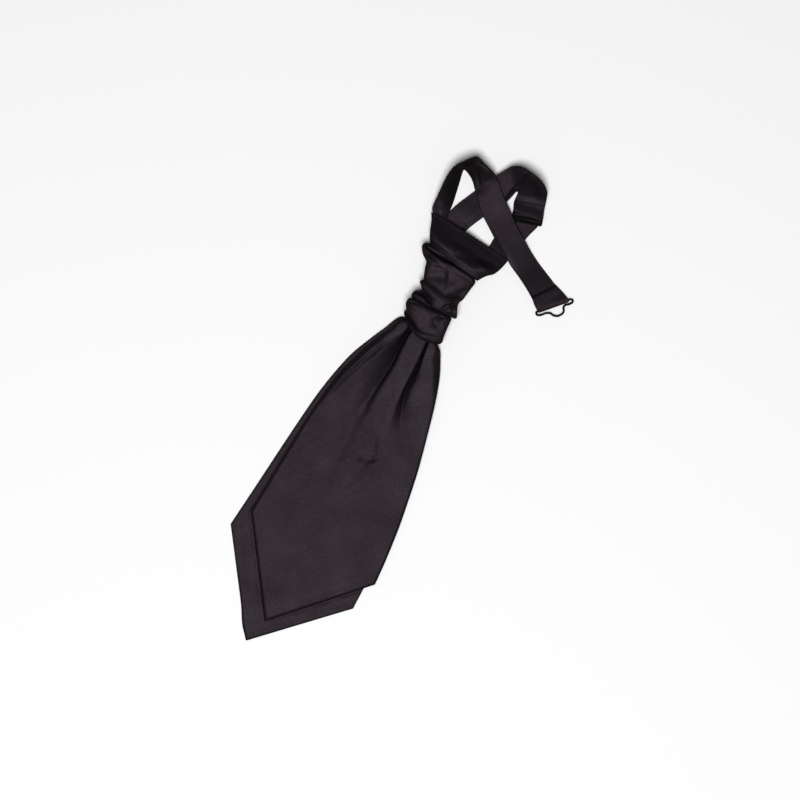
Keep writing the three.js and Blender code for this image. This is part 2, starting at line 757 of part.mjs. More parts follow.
const cravat = new THREE.Group();
cravat.add(
  backBlade(),
  frontBlade(),
  knotWrap(),
  ruchedSleeve(),
  collarBand(),
  hookStrap(),
  wire('wire_hook', hookBends),
  eyeStrap(),
  adjusterStrap(),
  strapSlider(),
  wire('strap_eye', eyeBends),
);

export default cravat;
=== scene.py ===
import math
from functools import partial

import bmesh
import bpy
import numpy as np
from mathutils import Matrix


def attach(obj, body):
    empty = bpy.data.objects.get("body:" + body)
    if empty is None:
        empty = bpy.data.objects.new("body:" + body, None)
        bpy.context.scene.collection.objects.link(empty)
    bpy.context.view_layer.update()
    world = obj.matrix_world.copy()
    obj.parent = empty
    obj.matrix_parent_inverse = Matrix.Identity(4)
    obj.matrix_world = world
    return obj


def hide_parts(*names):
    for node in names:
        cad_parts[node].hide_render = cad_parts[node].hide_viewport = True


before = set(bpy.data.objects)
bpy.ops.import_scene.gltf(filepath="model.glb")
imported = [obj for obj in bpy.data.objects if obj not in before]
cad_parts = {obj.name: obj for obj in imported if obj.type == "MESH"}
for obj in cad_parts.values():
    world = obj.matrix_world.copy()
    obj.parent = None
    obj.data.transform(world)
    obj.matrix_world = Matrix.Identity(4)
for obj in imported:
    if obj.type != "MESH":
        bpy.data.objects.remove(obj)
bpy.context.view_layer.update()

# A pre-tied satin cravat lying face up. Tables and shapes are in millimetres, meshes in metres.
# The tails point to -Y, the neck straps to +Y, and the knot lies over the origin.
mm = 0.001
print("frame loaded")

camera = {
    "middle": (19.05, -85.2),  # point of the surface in the middle of the picture
    "turn": math.radians(32.7),
    "height": 4000,
    "span": 800,  # what the picture shows of the surface
    "sensor": 36,
    "sees": 20,  # how far, in metres
}


# An object with its data, put into the scene
def addObject(name, data):
    made = bpy.data.objects.new(name, data)
    bpy.context.scene.collection.objects.link(made)
    return made


# Looks straight down on the middle, turned as the photograph is, from a height that gives the span
def makeCamera():
    data = bpy.data.cameras.new("camera")
    data.sensor_width = camera["sensor"]
    data.lens = camera["sensor"] * camera["height"] / camera["span"]
    data.clip_end = camera["sees"]
    made = addObject("camera", data)
    x, y = camera["middle"]
    made.location = (x * mm, y * mm, camera["height"] * mm)
    made.rotation_euler = (0, 0, camera["turn"])
    bpy.context.scene.camera = made


makeCamera()

# Curves and surfaces, worked out as whole arrays


# 0 before start, 1 after end, and a smooth cubic step between them
def smooth(start, end, value):
    t = np.clip((value - start) / (end - start), 0, 1)
    return t * t * (3 - 2 * t)


# Catmull-Rom curve through the rows of a table, read at places counted in rows
def alongRows(rows, places):
    rows = np.asarray(rows, float)
    last = len(rows) - 1
    i = np.clip(np.floor(places).astype(int), 0, last - 1)
    f = (places - i)[:, None]
    a, b, c, d = (rows[np.clip(i + k, 0, last)] for k in (-1, 0, 1, 2))
    return b + 0.5 * f * (c - a + f * (2 * a - 5 * b + 4 * c - d + f * (3 * (b - c) + d - a)))


# Places from 0 to 1 that crowd towards both ends, half a cosine wave mixed with even steps
def crowded(count, crowding):
    even = np.linspace(0, 1, count)
    return even + crowding * ((1 - np.cos(np.pi * even)) / 2 - even)


# Places from 0 to 1 that lie closer together round each (middle, reach, extra), as bell curves
def denser(count, spots):
    fine = np.linspace(0, 1, 2001)
    extras = sum(extra * np.exp(-(((fine - middle) / reach) ** 2)) for middle, reach, extra in spots)
    total = np.cumsum(1 + extras)
    return np.interp(np.linspace(0, 1, count), (total - total[0]) / (total[-1] - total[0]), fine)


# Share of the way from p to q at which a line passes nearest to x, y, and the distance to it
def nearLine(p, q, x, y):
    dx, dy = q[:2] - p[:2]
    t = np.clip(((x - p[0]) * dx + (y - p[1]) * dy) / (dx * dx + dy * dy), 0, 1)
    return t, np.hypot(x - p[0] - dx * t, y - p[1] - dy * t)


# Depth of the folds at x, y. Each fold is a line of points with its depth and its widths to the
# left and the right of the line, or one width for both, and falls off as
# exp(-(distance / width) ^ sharp).
def foldDepth(folds, x, y):
    total = np.zeros_like(x)
    for sharp, points in folds:
        best = np.full(x.shape, np.inf)
        depth, wide = np.zeros_like(x), np.ones_like(x)
        points = np.array([[*point, point[3]][:5] for point in points], float)
        for p, q in zip(points[:-1], points[1:]):
            t, gap = nearLine(p, q, x, y)
            left = (q[0] - p[0]) * (y - p[1]) - (q[1] - p[1]) * (x - p[0]) > 0
            sides = np.where(left, p[3] + (q[3] - p[3]) * t, p[4] + (q[4] - p[4]) * t)
            near = gap < best
            best = np.where(near, gap, best)
            depth = np.where(near, p[2] + (q[2] - p[2]) * t, depth)
            wide = np.where(near, sides, wide)
        total += depth * np.exp(-((best / wide) ** sharp))
    return total


# Slow random swells: a sum of sine waves of about one length, in directions round an axis
def swells(x, y, length, seed, axis=0.0, spread=math.pi, count=9):
    random = np.random.default_rng(seed)
    total = np.zeros_like(x)
    for turn, scale, phase in zip(
        axis + spread * (random.random(count) - 0.5),
        0.6 + random.random(count),
        2 * math.pi * random.random(count),
    ):
        k = 2 * math.pi / (length * scale)
        total += np.sin(k * (x * math.cos(turn) + y * math.sin(turn)) + phase)
    return total / math.sqrt(count)


# Distance from points x, y to a closed outline of corners. Corners on the same spot count once.
def outlineDistance(outline, x, y, spot=3e-5):
    best = np.full(x.shape, np.inf)
    for p, q in zip(outline, np.roll(outline, -1, axis=0)):
        if np.hypot(*(q - p)) > spot:
            best = np.minimum(best, nearLine(p, q, x, y)[1])
    return best


# Distances from each point of a line to the one before it, the first being 0
def gapsAlong(line):
    return np.linalg.norm(np.diff(line, axis=0, prepend=line[:1]), axis=1)


# Half the cloth's thickness at a distance from its edge: a quarter ellipse, then constant
def edgeRound(thick, distance, reach=1.0):
    t = np.clip(distance / (thick * reach), 0, 1)
    return thick / 2 * np.sqrt(1 - (1 - t) ** 2)


# Quads between neighbours of an index grid
def gridQuads(index):
    a, b = index[:-1, :-1], index[:-1, 1:]
    c, d = index[1:, 1:], index[1:, :-1]
    return np.stack([a, b, c, d], axis=-1).reshape(-1, 4)


# A mesh object from points in millimetres, its faces turned outwards by the sign of the volume.
# The cloth map has its own points, so that it can run on past a seam.
def makePiece(name, points, quads, cloth, clothQuads, material):
    p = points[quads]
    volume = np.einsum("ij,ij->", p[:, 0], np.cross(p[:, 1], p[:, 2]) + np.cross(p[:, 2], p[:, 3]))
    if volume < 0:
        quads, clothQuads = quads[:, ::-1], clothQuads[:, ::-1]
    mesh = bpy.data.meshes.new(name)
    mesh.vertices.add(len(points))
    mesh.vertices.foreach_set("co", (points * mm).astype(np.float32).ravel())
    mesh.loops.add(quads.size)
    mesh.loops.foreach_set("vertex_index", quads.astype(np.int32).ravel())
    mesh.polygons.add(len(quads))
    mesh.polygons.foreach_set("loop_start", np.arange(0, quads.size, 4, dtype=np.int32))
    mesh.update(calc_edges=True)
    layer = mesh.uv_layers.new(name="cloth")
    layer.data.foreach_set("uv", (cloth[clothQuads.ravel()] * mm).astype(np.float32).ravel())
    mesh.shade_smooth()
    mesh.materials.append(material)
    made = addObject(name, mesh)
    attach(made, "root")
    return made


# Closed sheet: an upper and a lower grid of points that share their border
def closedSheet(name, upper, lower, cloth, material):
    rows, cols = upper.shape[:2]
    above = np.arange(rows * cols).reshape(rows, cols)
    below = above.copy()
    below[1:-1, 1:-1] = rows * cols + np.arange((rows - 2) * (cols - 2)).reshape(rows - 2, -1)
    points = np.vstack([upper.reshape(-1, 3), lower[1:-1, 1:-1].reshape(-1, 3)])
    quads = np.vstack([gridQuads(above), gridQuads(below)[:, ::-1]])
    mapped = np.vstack([gridQuads(above), gridQuads(above)[:, ::-1]])
    return makePiece(name, points, quads, cloth.reshape(-1, 2), mapped, material)


# A grid that closes on itself along both of its directions. Its cloth map adds up the mean gaps
# between its rows and the widest ones between its columns.
def closedRing(name, grid, material):
    rows, cols = grid.shape[:2]
    index = np.arange(rows * cols).reshape(rows, cols)
    index = np.pad(index, ((0, 1), (0, 1)), mode="wrap")
    whole = np.pad(grid, ((0, 1), (0, 1), (0, 0)), mode="wrap")
    down = np.linalg.norm(np.diff(whole, axis=0, prepend=whole[:1]), axis=2).mean(axis=1)
    over = np.linalg.norm(np.diff(whole, axis=1, prepend=whole[:, :1]), axis=2).max(axis=0)
    cloth = np.dstack(np.meshgrid(np.cumsum(over), np.cumsum(down)))
    mapped = gridQuads(np.arange((rows + 1) * (cols + 1)).reshape(rows + 1, -1))
    points = grid.reshape(-1, 3)
    return makePiece(name, points, gridQuads(index), cloth.reshape(-1, 2), mapped, material)


# Shader nodes


# Each input is linked to the socket or set to the value given for it
def feed(tree, node, inputs):
    for name, value in inputs.items():
        if isinstance(value, bpy.types.NodeSocket):
            tree.links.new(value, node.inputs[name])
        else:
            node.inputs[name].default_value = value


# A node of a kind with its settings and its inputs
def addNode(tree, kind, inputs, **settings):
    node = tree.nodes.new("ShaderNode" + kind)
    for name, value in settings.items():
        setattr(node, name, value)
    feed(tree, node, inputs)
    return node


# Result of one step of arithmetic on values or sockets
def mathNode(tree, operation, *values):
    return addNode(tree, "Math", dict(enumerate(values)), operation=operation).outputs[0]


# Normal tilted by the slope of a height, which is so many millimetres from 0 to 1
def bumpNode(tree, height, strength, distance):
    given = {"Strength": strength, "Distance": distance * mm, "Height": height}
    return addNode(tree, "Bump", given).outputs[0]


# Colour that goes evenly from the first stop's to the second's
def rampNode(tree, factor, stops):
    node = addNode(tree, "ValToRGB", {"Fac": factor})
    elements = node.color_ramp.elements
    for element, (place, color) in zip(elements, stops):
        element.position = place
        element.color = (*color, 1)
    return node.outputs["Color"]


# Value carried from one range to another in proportion, and kept inside the second
def rangeNode(tree, value, fromLow, fromHigh, toLow, toHigh):
    limits = {"From Min": fromLow, "From Max": fromHigh, "To Min": toLow, "To Max": toHigh}
    return addNode(tree, "MapRange", {**limits, "Value": value}).outputs["Result"]


# A group with number inputs and outputs; an input without a value is a vector
def newGroup(name, inputs, outputs):
    group = bpy.data.node_groups.new(name, "ShaderNodeTree")
    for label, value in inputs.items():
        kind = "NodeSocketVector" if value is None else "NodeSocketFloat"
        made = group.interface.new_socket(name=label, in_out="INPUT", socket_type=kind)
        if value is not None:
            made.default_value = value
    for label in outputs:
        group.interface.new_socket(name=label, in_out="OUTPUT", socket_type="NodeSocketFloat")
    return group, group.nodes.new("NodeGroupInput").outputs, group.nodes.new("NodeGroupOutput")


weave = {
    "slant": 0.5,  # rows of floats go over by this share at each weft thread
    "weft": 0.5,  # height of the weft beside the floats
    "height": 0.33,  # share of the sum of both waves
    "slubStretch": (0.9, 0.16, 1),  # slubs run along the thread
    "toShade": (0.3, 2.0),  # how much of the weave and of the slubs shows in the shade
}


# Satin weave: long floats in slanting rows, seen as a fine twill of sine waves, and slubs of
# stretched noise. Gives a thread shade and a height, both about a middle of 0.5.
def satinWeaveGroup():
    wanted = {"Cloth": None, "Thread": 0.5, "Slub": 0.5}
    group, given, out = newGroup("satinWeave", wanted, ["Shade", "Height"])
    calc = partial(mathNode, group)
    threads = {0: given["Cloth"], "Scale": calc("DIVIDE", 1000.0, given["Thread"])}
    scaled = addNode(group, "VectorMath", threads, operation="SCALE").outputs[0]
    parts = addNode(group, "SeparateXYZ", {0: scaled}).outputs
    slant = calc("ADD", parts["X"], calc("MULTIPLY", parts["Y"], weave["slant"]))
    twill = calc("SINE", calc("MULTIPLY", slant, 2 * math.pi))
    weft = calc("SINE", calc("MULTIPLY", parts["Y"], 2 * math.pi))
    both = calc("ADD", twill, calc("MULTIPLY", weft, weave["weft"]))
    floats = calc("MULTIPLY", both, weave["height"])
    stretched = addNode(group, "Mapping", {"Scale": weave["slubStretch"], "Vector": scaled}).outputs[0]
    noise = addNode(group, "TexNoise", {"Scale": 1.0, "Detail": 2.0, "Vector": stretched}).outputs["Fac"]
    slubs = calc("MULTIPLY", calc("SUBTRACT", noise, 0.5), given["Slub"])
    height = calc("ADD", calc("MULTIPLY", floats, 0.5), 0.5)
    fromFloats, fromSlubs = weave["toShade"]
    shade = calc("ADD", calc("MULTIPLY", floats, fromFloats), calc("MULTIPLY", slubs, fromSlubs))
    feed(group, out, {"Shade": calc("ADD", shade, 0.5), "Height": calc("ADD", height, slubs)})
    return group


speck = {"perMetre": 110.0, "size": 0.045, "without": 0.8}  # lint: its size, and the share of cells without


# Handling marks: noise clouds in which the cloth is a little duller and paler, and lint specks in
# the middles of some cells
def wearGroup():
    group, given, out = newGroup("clothWear", {"Place": None, "Size": 30.0, "Lint": 0.5}, ["Cloud", "Lint"])
    calc = partial(mathNode, group)
    clouds = {"Detail": 4.0, "Roughness": 0.55, "Vector": given["Place"]}
    clouds["Scale"] = calc("DIVIDE", 1000.0, given["Size"])
    cloud = addNode(group, "TexNoise", clouds).outputs["Fac"]
    cells = addNode(group, "TexVoronoi", {"Scale": speck["perMetre"], "Vector": given["Place"]}).outputs
    chance = addNode(group, "SeparateColor", {0: cells["Color"]}).outputs[0]
    near = calc("LESS_THAN", cells["Distance"], speck["size"])
    picked = calc("MULTIPLY", near, calc("GREATER_THAN", chance, speck["without"]))
    feed(group, out, {"Cloud": cloud, "Lint": calc("MULTIPLY", picked, given["Lint"])})
    return group


satinWeave = satinWeaveGroup()
clothWear = wearGroup()


# A material with its node tree and its Principled shader
def newMaterial(name):
    material = bpy.data.materials.new(name)
    material.use_nodes = True
    return material, material.node_tree, material.node_tree.nodes["Principled BSDF"]


# Outputs of the wear group, placed on Object coordinates
def placeWear(tree, size, lint):
    place = addNode(tree, "TexCoord", {}).outputs["Object"]
    return addNode(tree, "Group", {"Size": size, "Lint": lint, "Place": place}, node_tree=clothWear).outputs


satinLook = {
    "dark": (0.0126, 0.0098, 0.0123),
    "light": (0.0261, 0.0202, 0.0254),
    "lint": (0.05, 0.046, 0.048, 1),
    "thread": 0.55,  # millimetres from one row of floats to the next
    "slub": 0.5,
    "clouds": 26.0,  # size of the handling clouds in millimetres
    "cloudShade": 0.5,  # how much of them shows in the shade
    "colorStops": (0.1, 0.9),  # shades of the dark and the light colour
    "rough": (0.5, 0.6),
    "roughStops": (0.2, 0.8),  # shades of the highest and the lowest roughness
    "specular": 0.02,
    "lustre": 0.7,  # share of the light that the bright filaments throw back
    "grazing": (0.12, 0.1, 0.11),
    "bump": (0.16, 0.12),  # strength and height in millimetres
}


# Black satin: weave and slubs in colour, roughness and bump, with handling clouds over them
def makeSatin(name, tone=1.0):
    material, tree, shader = newMaterial(name)
    wear = placeWear(tree, satinLook["clouds"], 1.0)
    given = {"Thread": satinLook["thread"], "Slub": satinLook["slub"]}
    given["Cloth"] = addNode(tree, "UVMap", {}, uv_map="cloth").outputs[0]
    thread = addNode(tree, "Group", given, node_tree=satinWeave).outputs
    cloud = mathNode(tree, "SUBTRACT", wear["Cloud"], 0.5)
    cloud = mathNode(tree, "MULTIPLY", cloud, satinLook["cloudShade"])
    shade = mathNode(tree, "ADD", thread["Shade"], cloud)
    colors = [tuple(tone * c for c in satinLook[key]) for key in ("dark", "light")]
    color = rampNode(tree, shade, zip(satinLook["colorStops"], colors))
    lint = addNode(tree, "Mix", {}, data_type="RGBA")
    feed(tree, lint, {"Factor": wear["Lint"], "A": color, "B": satinLook["lint"]})
    feed(tree, shader, {
        "Base Color": lint.outputs["Result"],
        "Roughness": rangeNode(tree, shade, *satinLook["roughStops"], *reversed(satinLook["rough"])),
        "Normal": bumpNode(tree, thread["Height"], *satinLook["bump"]),
        "Specular IOR Level": satinLook["specular"],
        "Metallic": satinLook["lustre"],
        "Specular Tint": (*satinLook["grazing"], 1),
    })
    return material


hardLook = {
    "color": (0.0016, 0.0016, 0.0018),
    "pale": 1.6,  # how much lighter the scuffs are
    "paleStops": (0.35, 0.75),  # clouds in which they begin and are full
    "dull": 0.2,  # what they add to the roughness
    "dullStops": (0.3, 0.7),
    "bump": (0.2, 0.1),  # strength and height in millimetres
}


# Hard black parts: enamelled wire and moulded plastic, with fine scuffs in gloss and height
def makeHard(name, rough, scuffSize, specular):
    material, tree, shader = newMaterial(name)
    cloud = placeWear(tree, scuffSize, 0.0)["Cloud"]
    colors = [hardLook["color"], tuple(hardLook["pale"] * c for c in hardLook["color"])]
    feed(tree, shader, {
        "Base Color": rampNode(tree, cloud, zip(hardLook["paleStops"], colors)),
        "Roughness": rangeNode(tree, cloud, *hardLook["dullStops"], rough, rough + hardLook["dull"]),
        "Normal": bumpNode(tree, cloud, *hardLook["bump"]),
        "Specular IOR Level": specular,
    })
    return material


tailSatin = makeSatin("tailSatin")
knotSatin = makeSatin("knotSatin", tone=1.05)
strapSatin = makeSatin("strapSatin")
blackWire = makeHard("blackWire", rough=0.4, scuffSize=3.0, specular=0.06)
blackPlastic = makeHard("blackPlastic", rough=0.5, scuffSize=4.0, specular=0.03)
print("materials made")

# Tails: rows of three points, left edge, middle and right edge, from the neck to the V tip
layers = {
    "tailCloth": 2.0,
    "gap": 0.5,
    "neckRise": (2.5, -62, -27),  # rise over the ring's lower wall, and between which y
    "sleeveRise": (2.5, -14, -4),  # and then over the sleeve's
    "pleatHeight": 10.8,
    "neckArch": 7.2,
    "neck": 2,  # y above which the arch has the neck's height
    "mouth": -12,  # y where the arch comes out of the knot
    "fades": (-18, -150),  # between which y it dies away
    "bow": 4,  # power of the arch's bow inside the knot
    "box": (26, 12),  # what is added to it on the left and the right where it comes out
    "boxFades": (-40, -62),
    "hover": (0.6, 0.75),  # share of its height at which the left and the right edge are held up
    "leftDrops": (-95, -135),
    "rightLifts": (-42, -68),
    "swellLength": 70,
    "swellsEdge": 14,  # how far in from the edge the swells are full
    "swellsNeck": (-10, -40),  # between which y they start
    "rippleLength": 14,
    "ripple": 0.05,
    "foldsEdge": 2,  # how far in from the edge the lower tail's folds are full
    "sink": 0.1,  # how far its underside may lie in what is under it
    "crowding": (0.03, 0.035),  # how much closer the rows lie at both ends, and in the neck's half
}

backTail = {
    "rows": [  # xl yl xm ym xr yr
        [-15, 30, -4, 30, 7, 30],
        [-16, 12, -3.5, 12, 8, 12],
        [-18, 0, -3, 0, 10, 0],
        [-17.8, -7, -2, -8, 13, -8],
        [-18, -10.8, -1.5, -13, 15, -14],
        [-25.6, -15.2, -1, -18, 18, -19],
        [-29.4, -22.6, 0, -24, 21.5, -24],
        [-32.4, -32, 1, -32, 25, -32],
        [-39.3, -50, 3, -50, 34, -50],
        [-46.6, -72, 5, -71, 45, -71],
        [-51.1, -98, 8, -97, 55, -97],
        [-54, -130, 10, -130, 66, -130],
        [-55.2, -180, 14, -190, 78, -180],
        [-55.8, -232, 17, -270, 86.5, -226],
        [-56.5, -281, 19.4, -371, 92.3, -286],
    ],
    "folds": [
        # pressed hem lines inside the two lower edges
        (2, [[-50, -276, 0.35, 1], [19, -360, 0.35, 1], [84, -284, 0.35, 1]]),
    ],
    "pressed": (1.0, 1.3),  # depth and width of the groove under the edge of the tail on it
    "pressedFrom": (-110, -160),  # between which y it starts
    "pressedTip": (0.6, -244, -262),  # share of its depth above the tip, and between which y it deepens
    "overGrid": (120, 60),  # rows and columns that find the edge of the tail on it
    "tipBulge": (2.4, 0.42, 0.05),  # swell of the edge left of the tip: how far, where and how wide
    "along": 262,
    "across": 150,
    "crowding": 0.75,  # how much closer the points lie at both edges
    "swell": 0.35,
    "seed": 11,
}

frontTail = {
    "rows": [  # xl yl xm ym xr yr
        [-16, 32, -4, 32, 8, 32],
        [-17, 12, -3.5, 12, 9, 12],
        [-18.5, 0, -2.5, 0, 11, 0],
        [-18.8, -8, -1.5, -8, 14.8, -8],
        [-19.4, -12, -0.5, -13, 15.8, -14],
        [-24, -16, 0.4, -18, 22.2, -19],
        [-25.4, -22.5, 1, -23, 27, -23],
        [-26.8, -30, 2, -30, 31.6, -30],
        [-30.6, -39, 3, -39, 37.2, -39],
        [-34.6, -49, 4, -49, 42.3, -49],
        [-38.4, -61, 5, -61, 47.4, -61],
        [-41.4, -73, 6, -73, 52, -73],
        [-44.6, -86, 7, -86, 56.6, -86],
        [-47.2, -101, 8.4, -101, 61.6, -101],
        [-48.6, -118, 10, -118, 67.2, -118],
        [-48.9, -138, 12, -140, 73.4, -138],
        [-48.8, -164, 14.4, -172, 80.2, -164],
        [-48.2, -196, 17.5, -215, 87.6, -195],
        [-47.4, -228, 21, -274, 93.8, -228],
        [-46.4, -259, 24.8, -344.5, 97.6, -254],
    ],
    # Each fold runs down the tail: x y depth, width on its right, width on its left
    "folds": [
        # wide valley that slopes down from the left to the steep side of the centre pleat
        (1.7, [[-11, 20, 3, 1.4, 3], [-11, -8, 6, 1.2, 2.6], [-10.2, -20, 8.6, 1.4, 1.9],
            [-10.4, -27, 9.6, 1.2, 2], [-10, -38, 0, 1.3, 4.4]]),
        (1.2, [[-10.4, -27, 0, 1.2, 2.4], [-10, -38, 9.6, 1.2, 4.6], [-8.8, -46, 9.1, 1.2, 7.6],
            [-7.6, -54, 8.3, 1.2, 10.4], [-6.6, -64, 7.1, 1.2, 12], [-7, -75, 6, 1.5, 12.5],
            [-7.2, -85, 4.6, 1.9, 12], [-7, -95, 3.1, 2.4, 11], [-7, -106, 1.8, 4, 9],
            [-7.4, -116, 1.4, 5.4, 8], [-8, -130, 0.6, 7, 9], [-5, -160, 0, 8, 9]]),
        # narrow black valley on the other side, with the pleat's sharp straight edge on its left
        (1.3, [[8, 20, 3, 2, 1.2], [10, -8, 6, 1.2, 0.7], [11.2, -22, 8.6, 0.55, 0.5],
            [12.5, -31, 9.8, 0.7, 0.45], [14.2, -40, 9.3, 1, 0.5], [15.8, -50, 8.5, 1.9, 0.6],
            [16.9, -60, 7.4, 3.4, 0.65], [18.2, -71, 5.8, 3.5, 0.9], [21.4, -82, 4.3, 3.4, 1.8],
            [25.6, -92, 2.6, 5, 3.2], [30, -102, 1.6, 6.4, 5], [40, -117, 1, 9, 7], [62, -133, 0, 9]]),
        # the side of the tail to the right of it lies a little lower
        (2, [[18, -28, 0, 60, 4], [21, -42, 0.9, 60, 4.6], [25, -58, 1.7, 60, 6], [29, -76, 1.7, 60, 8],
            [36, -96, 1, 60, 10], [46, -122, 0, 60, 10]]),
        # the centre pleat tilts up a little to its right edge
        (2, [[6.4, -14, -0.3, 2, 5], [9.6, -32, -0.6, 2, 8], [12.6, -50, -1.1, 1.6, 11],
            [14.8, -70, -1.7, 1.8, 14], [18, -90, -1.8, 3.4, 15], [22, -110, -1.2, 6, 15],
            [24, -132, 0, 8, 14]]),
        # broad swell of the left side
        (2, [[-18, -62, 0, 9, 14], [-20, -80, -0.7, 10, 16], [-22, -98, -0.8, 10, 16],
            [-26, -124, 0, 10, 14]]),
        # the arch turns down under the knot on the right
        (1.6, [[24, -12, 2, 12, 2.6], [27, -22, 3, 12, 2.8], [31.6, -32, 3.4, 12, 6], [37, -40, 2.4, 12, 5],
            [42, -50, 1, 12, 3.4], [47, -60, 0, 12, 3]]),
        # hollow inside the knot, under the deep grooves of its lower lip
        (2, [[-20, -10.6, 6, 2.2], [-13, -14, 6.4, 2.2], [-7.4, -16.4, 4, 2], [-4, -17.4, 0, 1.6]]),
        # line of the stitches inside the left edge
        (1.6, [[-22, -49, 0.2, 1], [-25.8, -60, 1.1, 1], [-29.6, -71, 0.7, 1], [-32.6, -82, 0.7, 1],
            [-36.4, -96, 0.7, 1], [-40.6, -112, 0.6, 1], [-43.6, -126, 0, 1]]),
        (1.6, [[-31, -66, 0, 0.8], [-34.4, -78, 0.5, 0.8], [-37.8, -91, 0.4, 0.8], [-41, -104, 0, 0.8]]),
        # tacking stitch under the centre pleat and the tight line that runs up from it
        (1.8, [[16, -155, 0.8, 2, 2.6], [21, -152.6, 3, 2.2, 2.6], [26, -150.4, 3, 2, 2.2],
            [30, -148.4, 1, 1.4, 1.6]]),
        (2, [[21, -128, 0, 0.9], [24.5, -138, -0.6, 0.9], [29, -146.5, -0.6, 0.9]]),
        # faint hollows that run on down the tail
        (2, [[-7.6, -102, 0.6, 3, 9], [-7.6, -113, 1.3, 5, 8], [-8, -128, 1.1, 6, 8], [-4, -152, 0.9, 6, 7],
            [1, -215, 0, 8]]),
        (2, [[24, -156, 0.8, 4], [22, -180, 0.4, 6], [14, -225, 0, 8]]),
        (2, [[-24, -175, 0, 9], [-22, -215, 0.6, 9], [-14, -262, 0, 9]]),
        # pressed hem lines inside the two lower edges
        (2, [[-41, -256, 0.3, 1], [24.6, -334, 0.3, 1], [90, -252, 0.3, 1]]),
    ],
    "edge": 1.2,  # how far in its edge is rounded, in thicknesses
    "edgeDrop": (0.85, 2.6, -105, -150),  # its edge is pressed down: how far, how wide and from where
    "pleatFloor": 0.3,  # roundness of the pleats' floors
    "flatFolds": 8,  # the folds from here on also show where the arch is flat
    "flat": (1.6, 0.9),  # height of the cloth there, and how far its folds can raise it
    "flatFrom": (-98, -134),
    "along": 244,
    "across": 204,
    "dense": [(0, 0.03, 4), (1, 0.03, 4), (0.33, 0.06, 1.2), (0.655, 0.05, 2.2)],
    "swell": 0.3,
    "seed": 5,
    "roll": (7.4, 0.4, 3.8, 15),  # the left edge rolls up: height, where it starts, its wall and its fall
    "rollRound": 0.15,
    "rollRises": (-36, -64),
    "rollFalls": (-84, -142),
}


# Height of the arch at share u across a tail: 1 - |2 u - 1| ^ power, a flat bow that dies away
# below the pleats. It is nearly a box where it comes out of the knot.
def archHeight(u, y):
    high, mouth = layers["pleatHeight"], layers["mouth"]
    inside = high + (layers["neckArch"] - high) * smooth(mouth, layers["neck"], y)
    outside = high * (1 - smooth(*layers["fades"], y))
    out = smooth(mouth, 2 * mouth, y)
    leftBox = layers["box"][0] * (1 - smooth(*layers["boxFades"], y))
    power = layers["bow"] + out * np.where(u < 0.5, leftBox, layers["box"][1])
    leftHeld = layers["hover"][0] * out * (1 - smooth(*layers["leftDrops"], y))
    held = np.where(u < 0.5, leftHeld, layers["hover"][1] * smooth(*layers["rightLifts"], y))
    return np.where(y > mouth, inside, outside) * (1 - (1 - held) * np.abs(2 * u - 1) ** power)


# Two smooth steps by which the tails rise into the knot
def neckHeight(y):
    steps = (layers["neckRise"], layers["sleeveRise"])
    return sum(rise * smooth(start, end, y) for rise, start, end in steps)


# Points across each row of a tail run from its left edge over its middle to its right edge. The
# outline is read at every few of them.
def tailGrid(tail, along, across):
    last = len(tail["rows"]) - 1
    even = np.linspace(0, 1, along)
    ends, neck = layers["crowding"]
    places = last * (even - ends * np.sin(2 * np.pi * even) - neck * np.sin(np.pi * even) ** 2)
    rows = alongRows(tail["rows"], np.clip(places, 0, last))
    u = denser(across, tail["dense"]) if "dense" in tail else crowded(across, tail["crowding"])
    left, middle, right = (rows[:, None, k : k + 2] for k in (0, 2, 4))
    share = u[None, :, None]
    flat = np.where(
        share < 0.5,
        left + (middle - left) * 2 * share,
        middle + (right - middle) * (2 * share - 1),
    )
    if "tipBulge" in tail:
        out, at, wide = tail["tipBulge"]
        flat[..., 1] -= out * np.exp(-(((u - at) / wide) ** 2)) * smooth(last - 1, last, places)[:, None]
    outline = np.vstack([flat[::4, 0], flat[-1, ::6], flat[-1:, -1], flat[::-4, -1], flat[0, ::-12]])
    return flat, u, outline


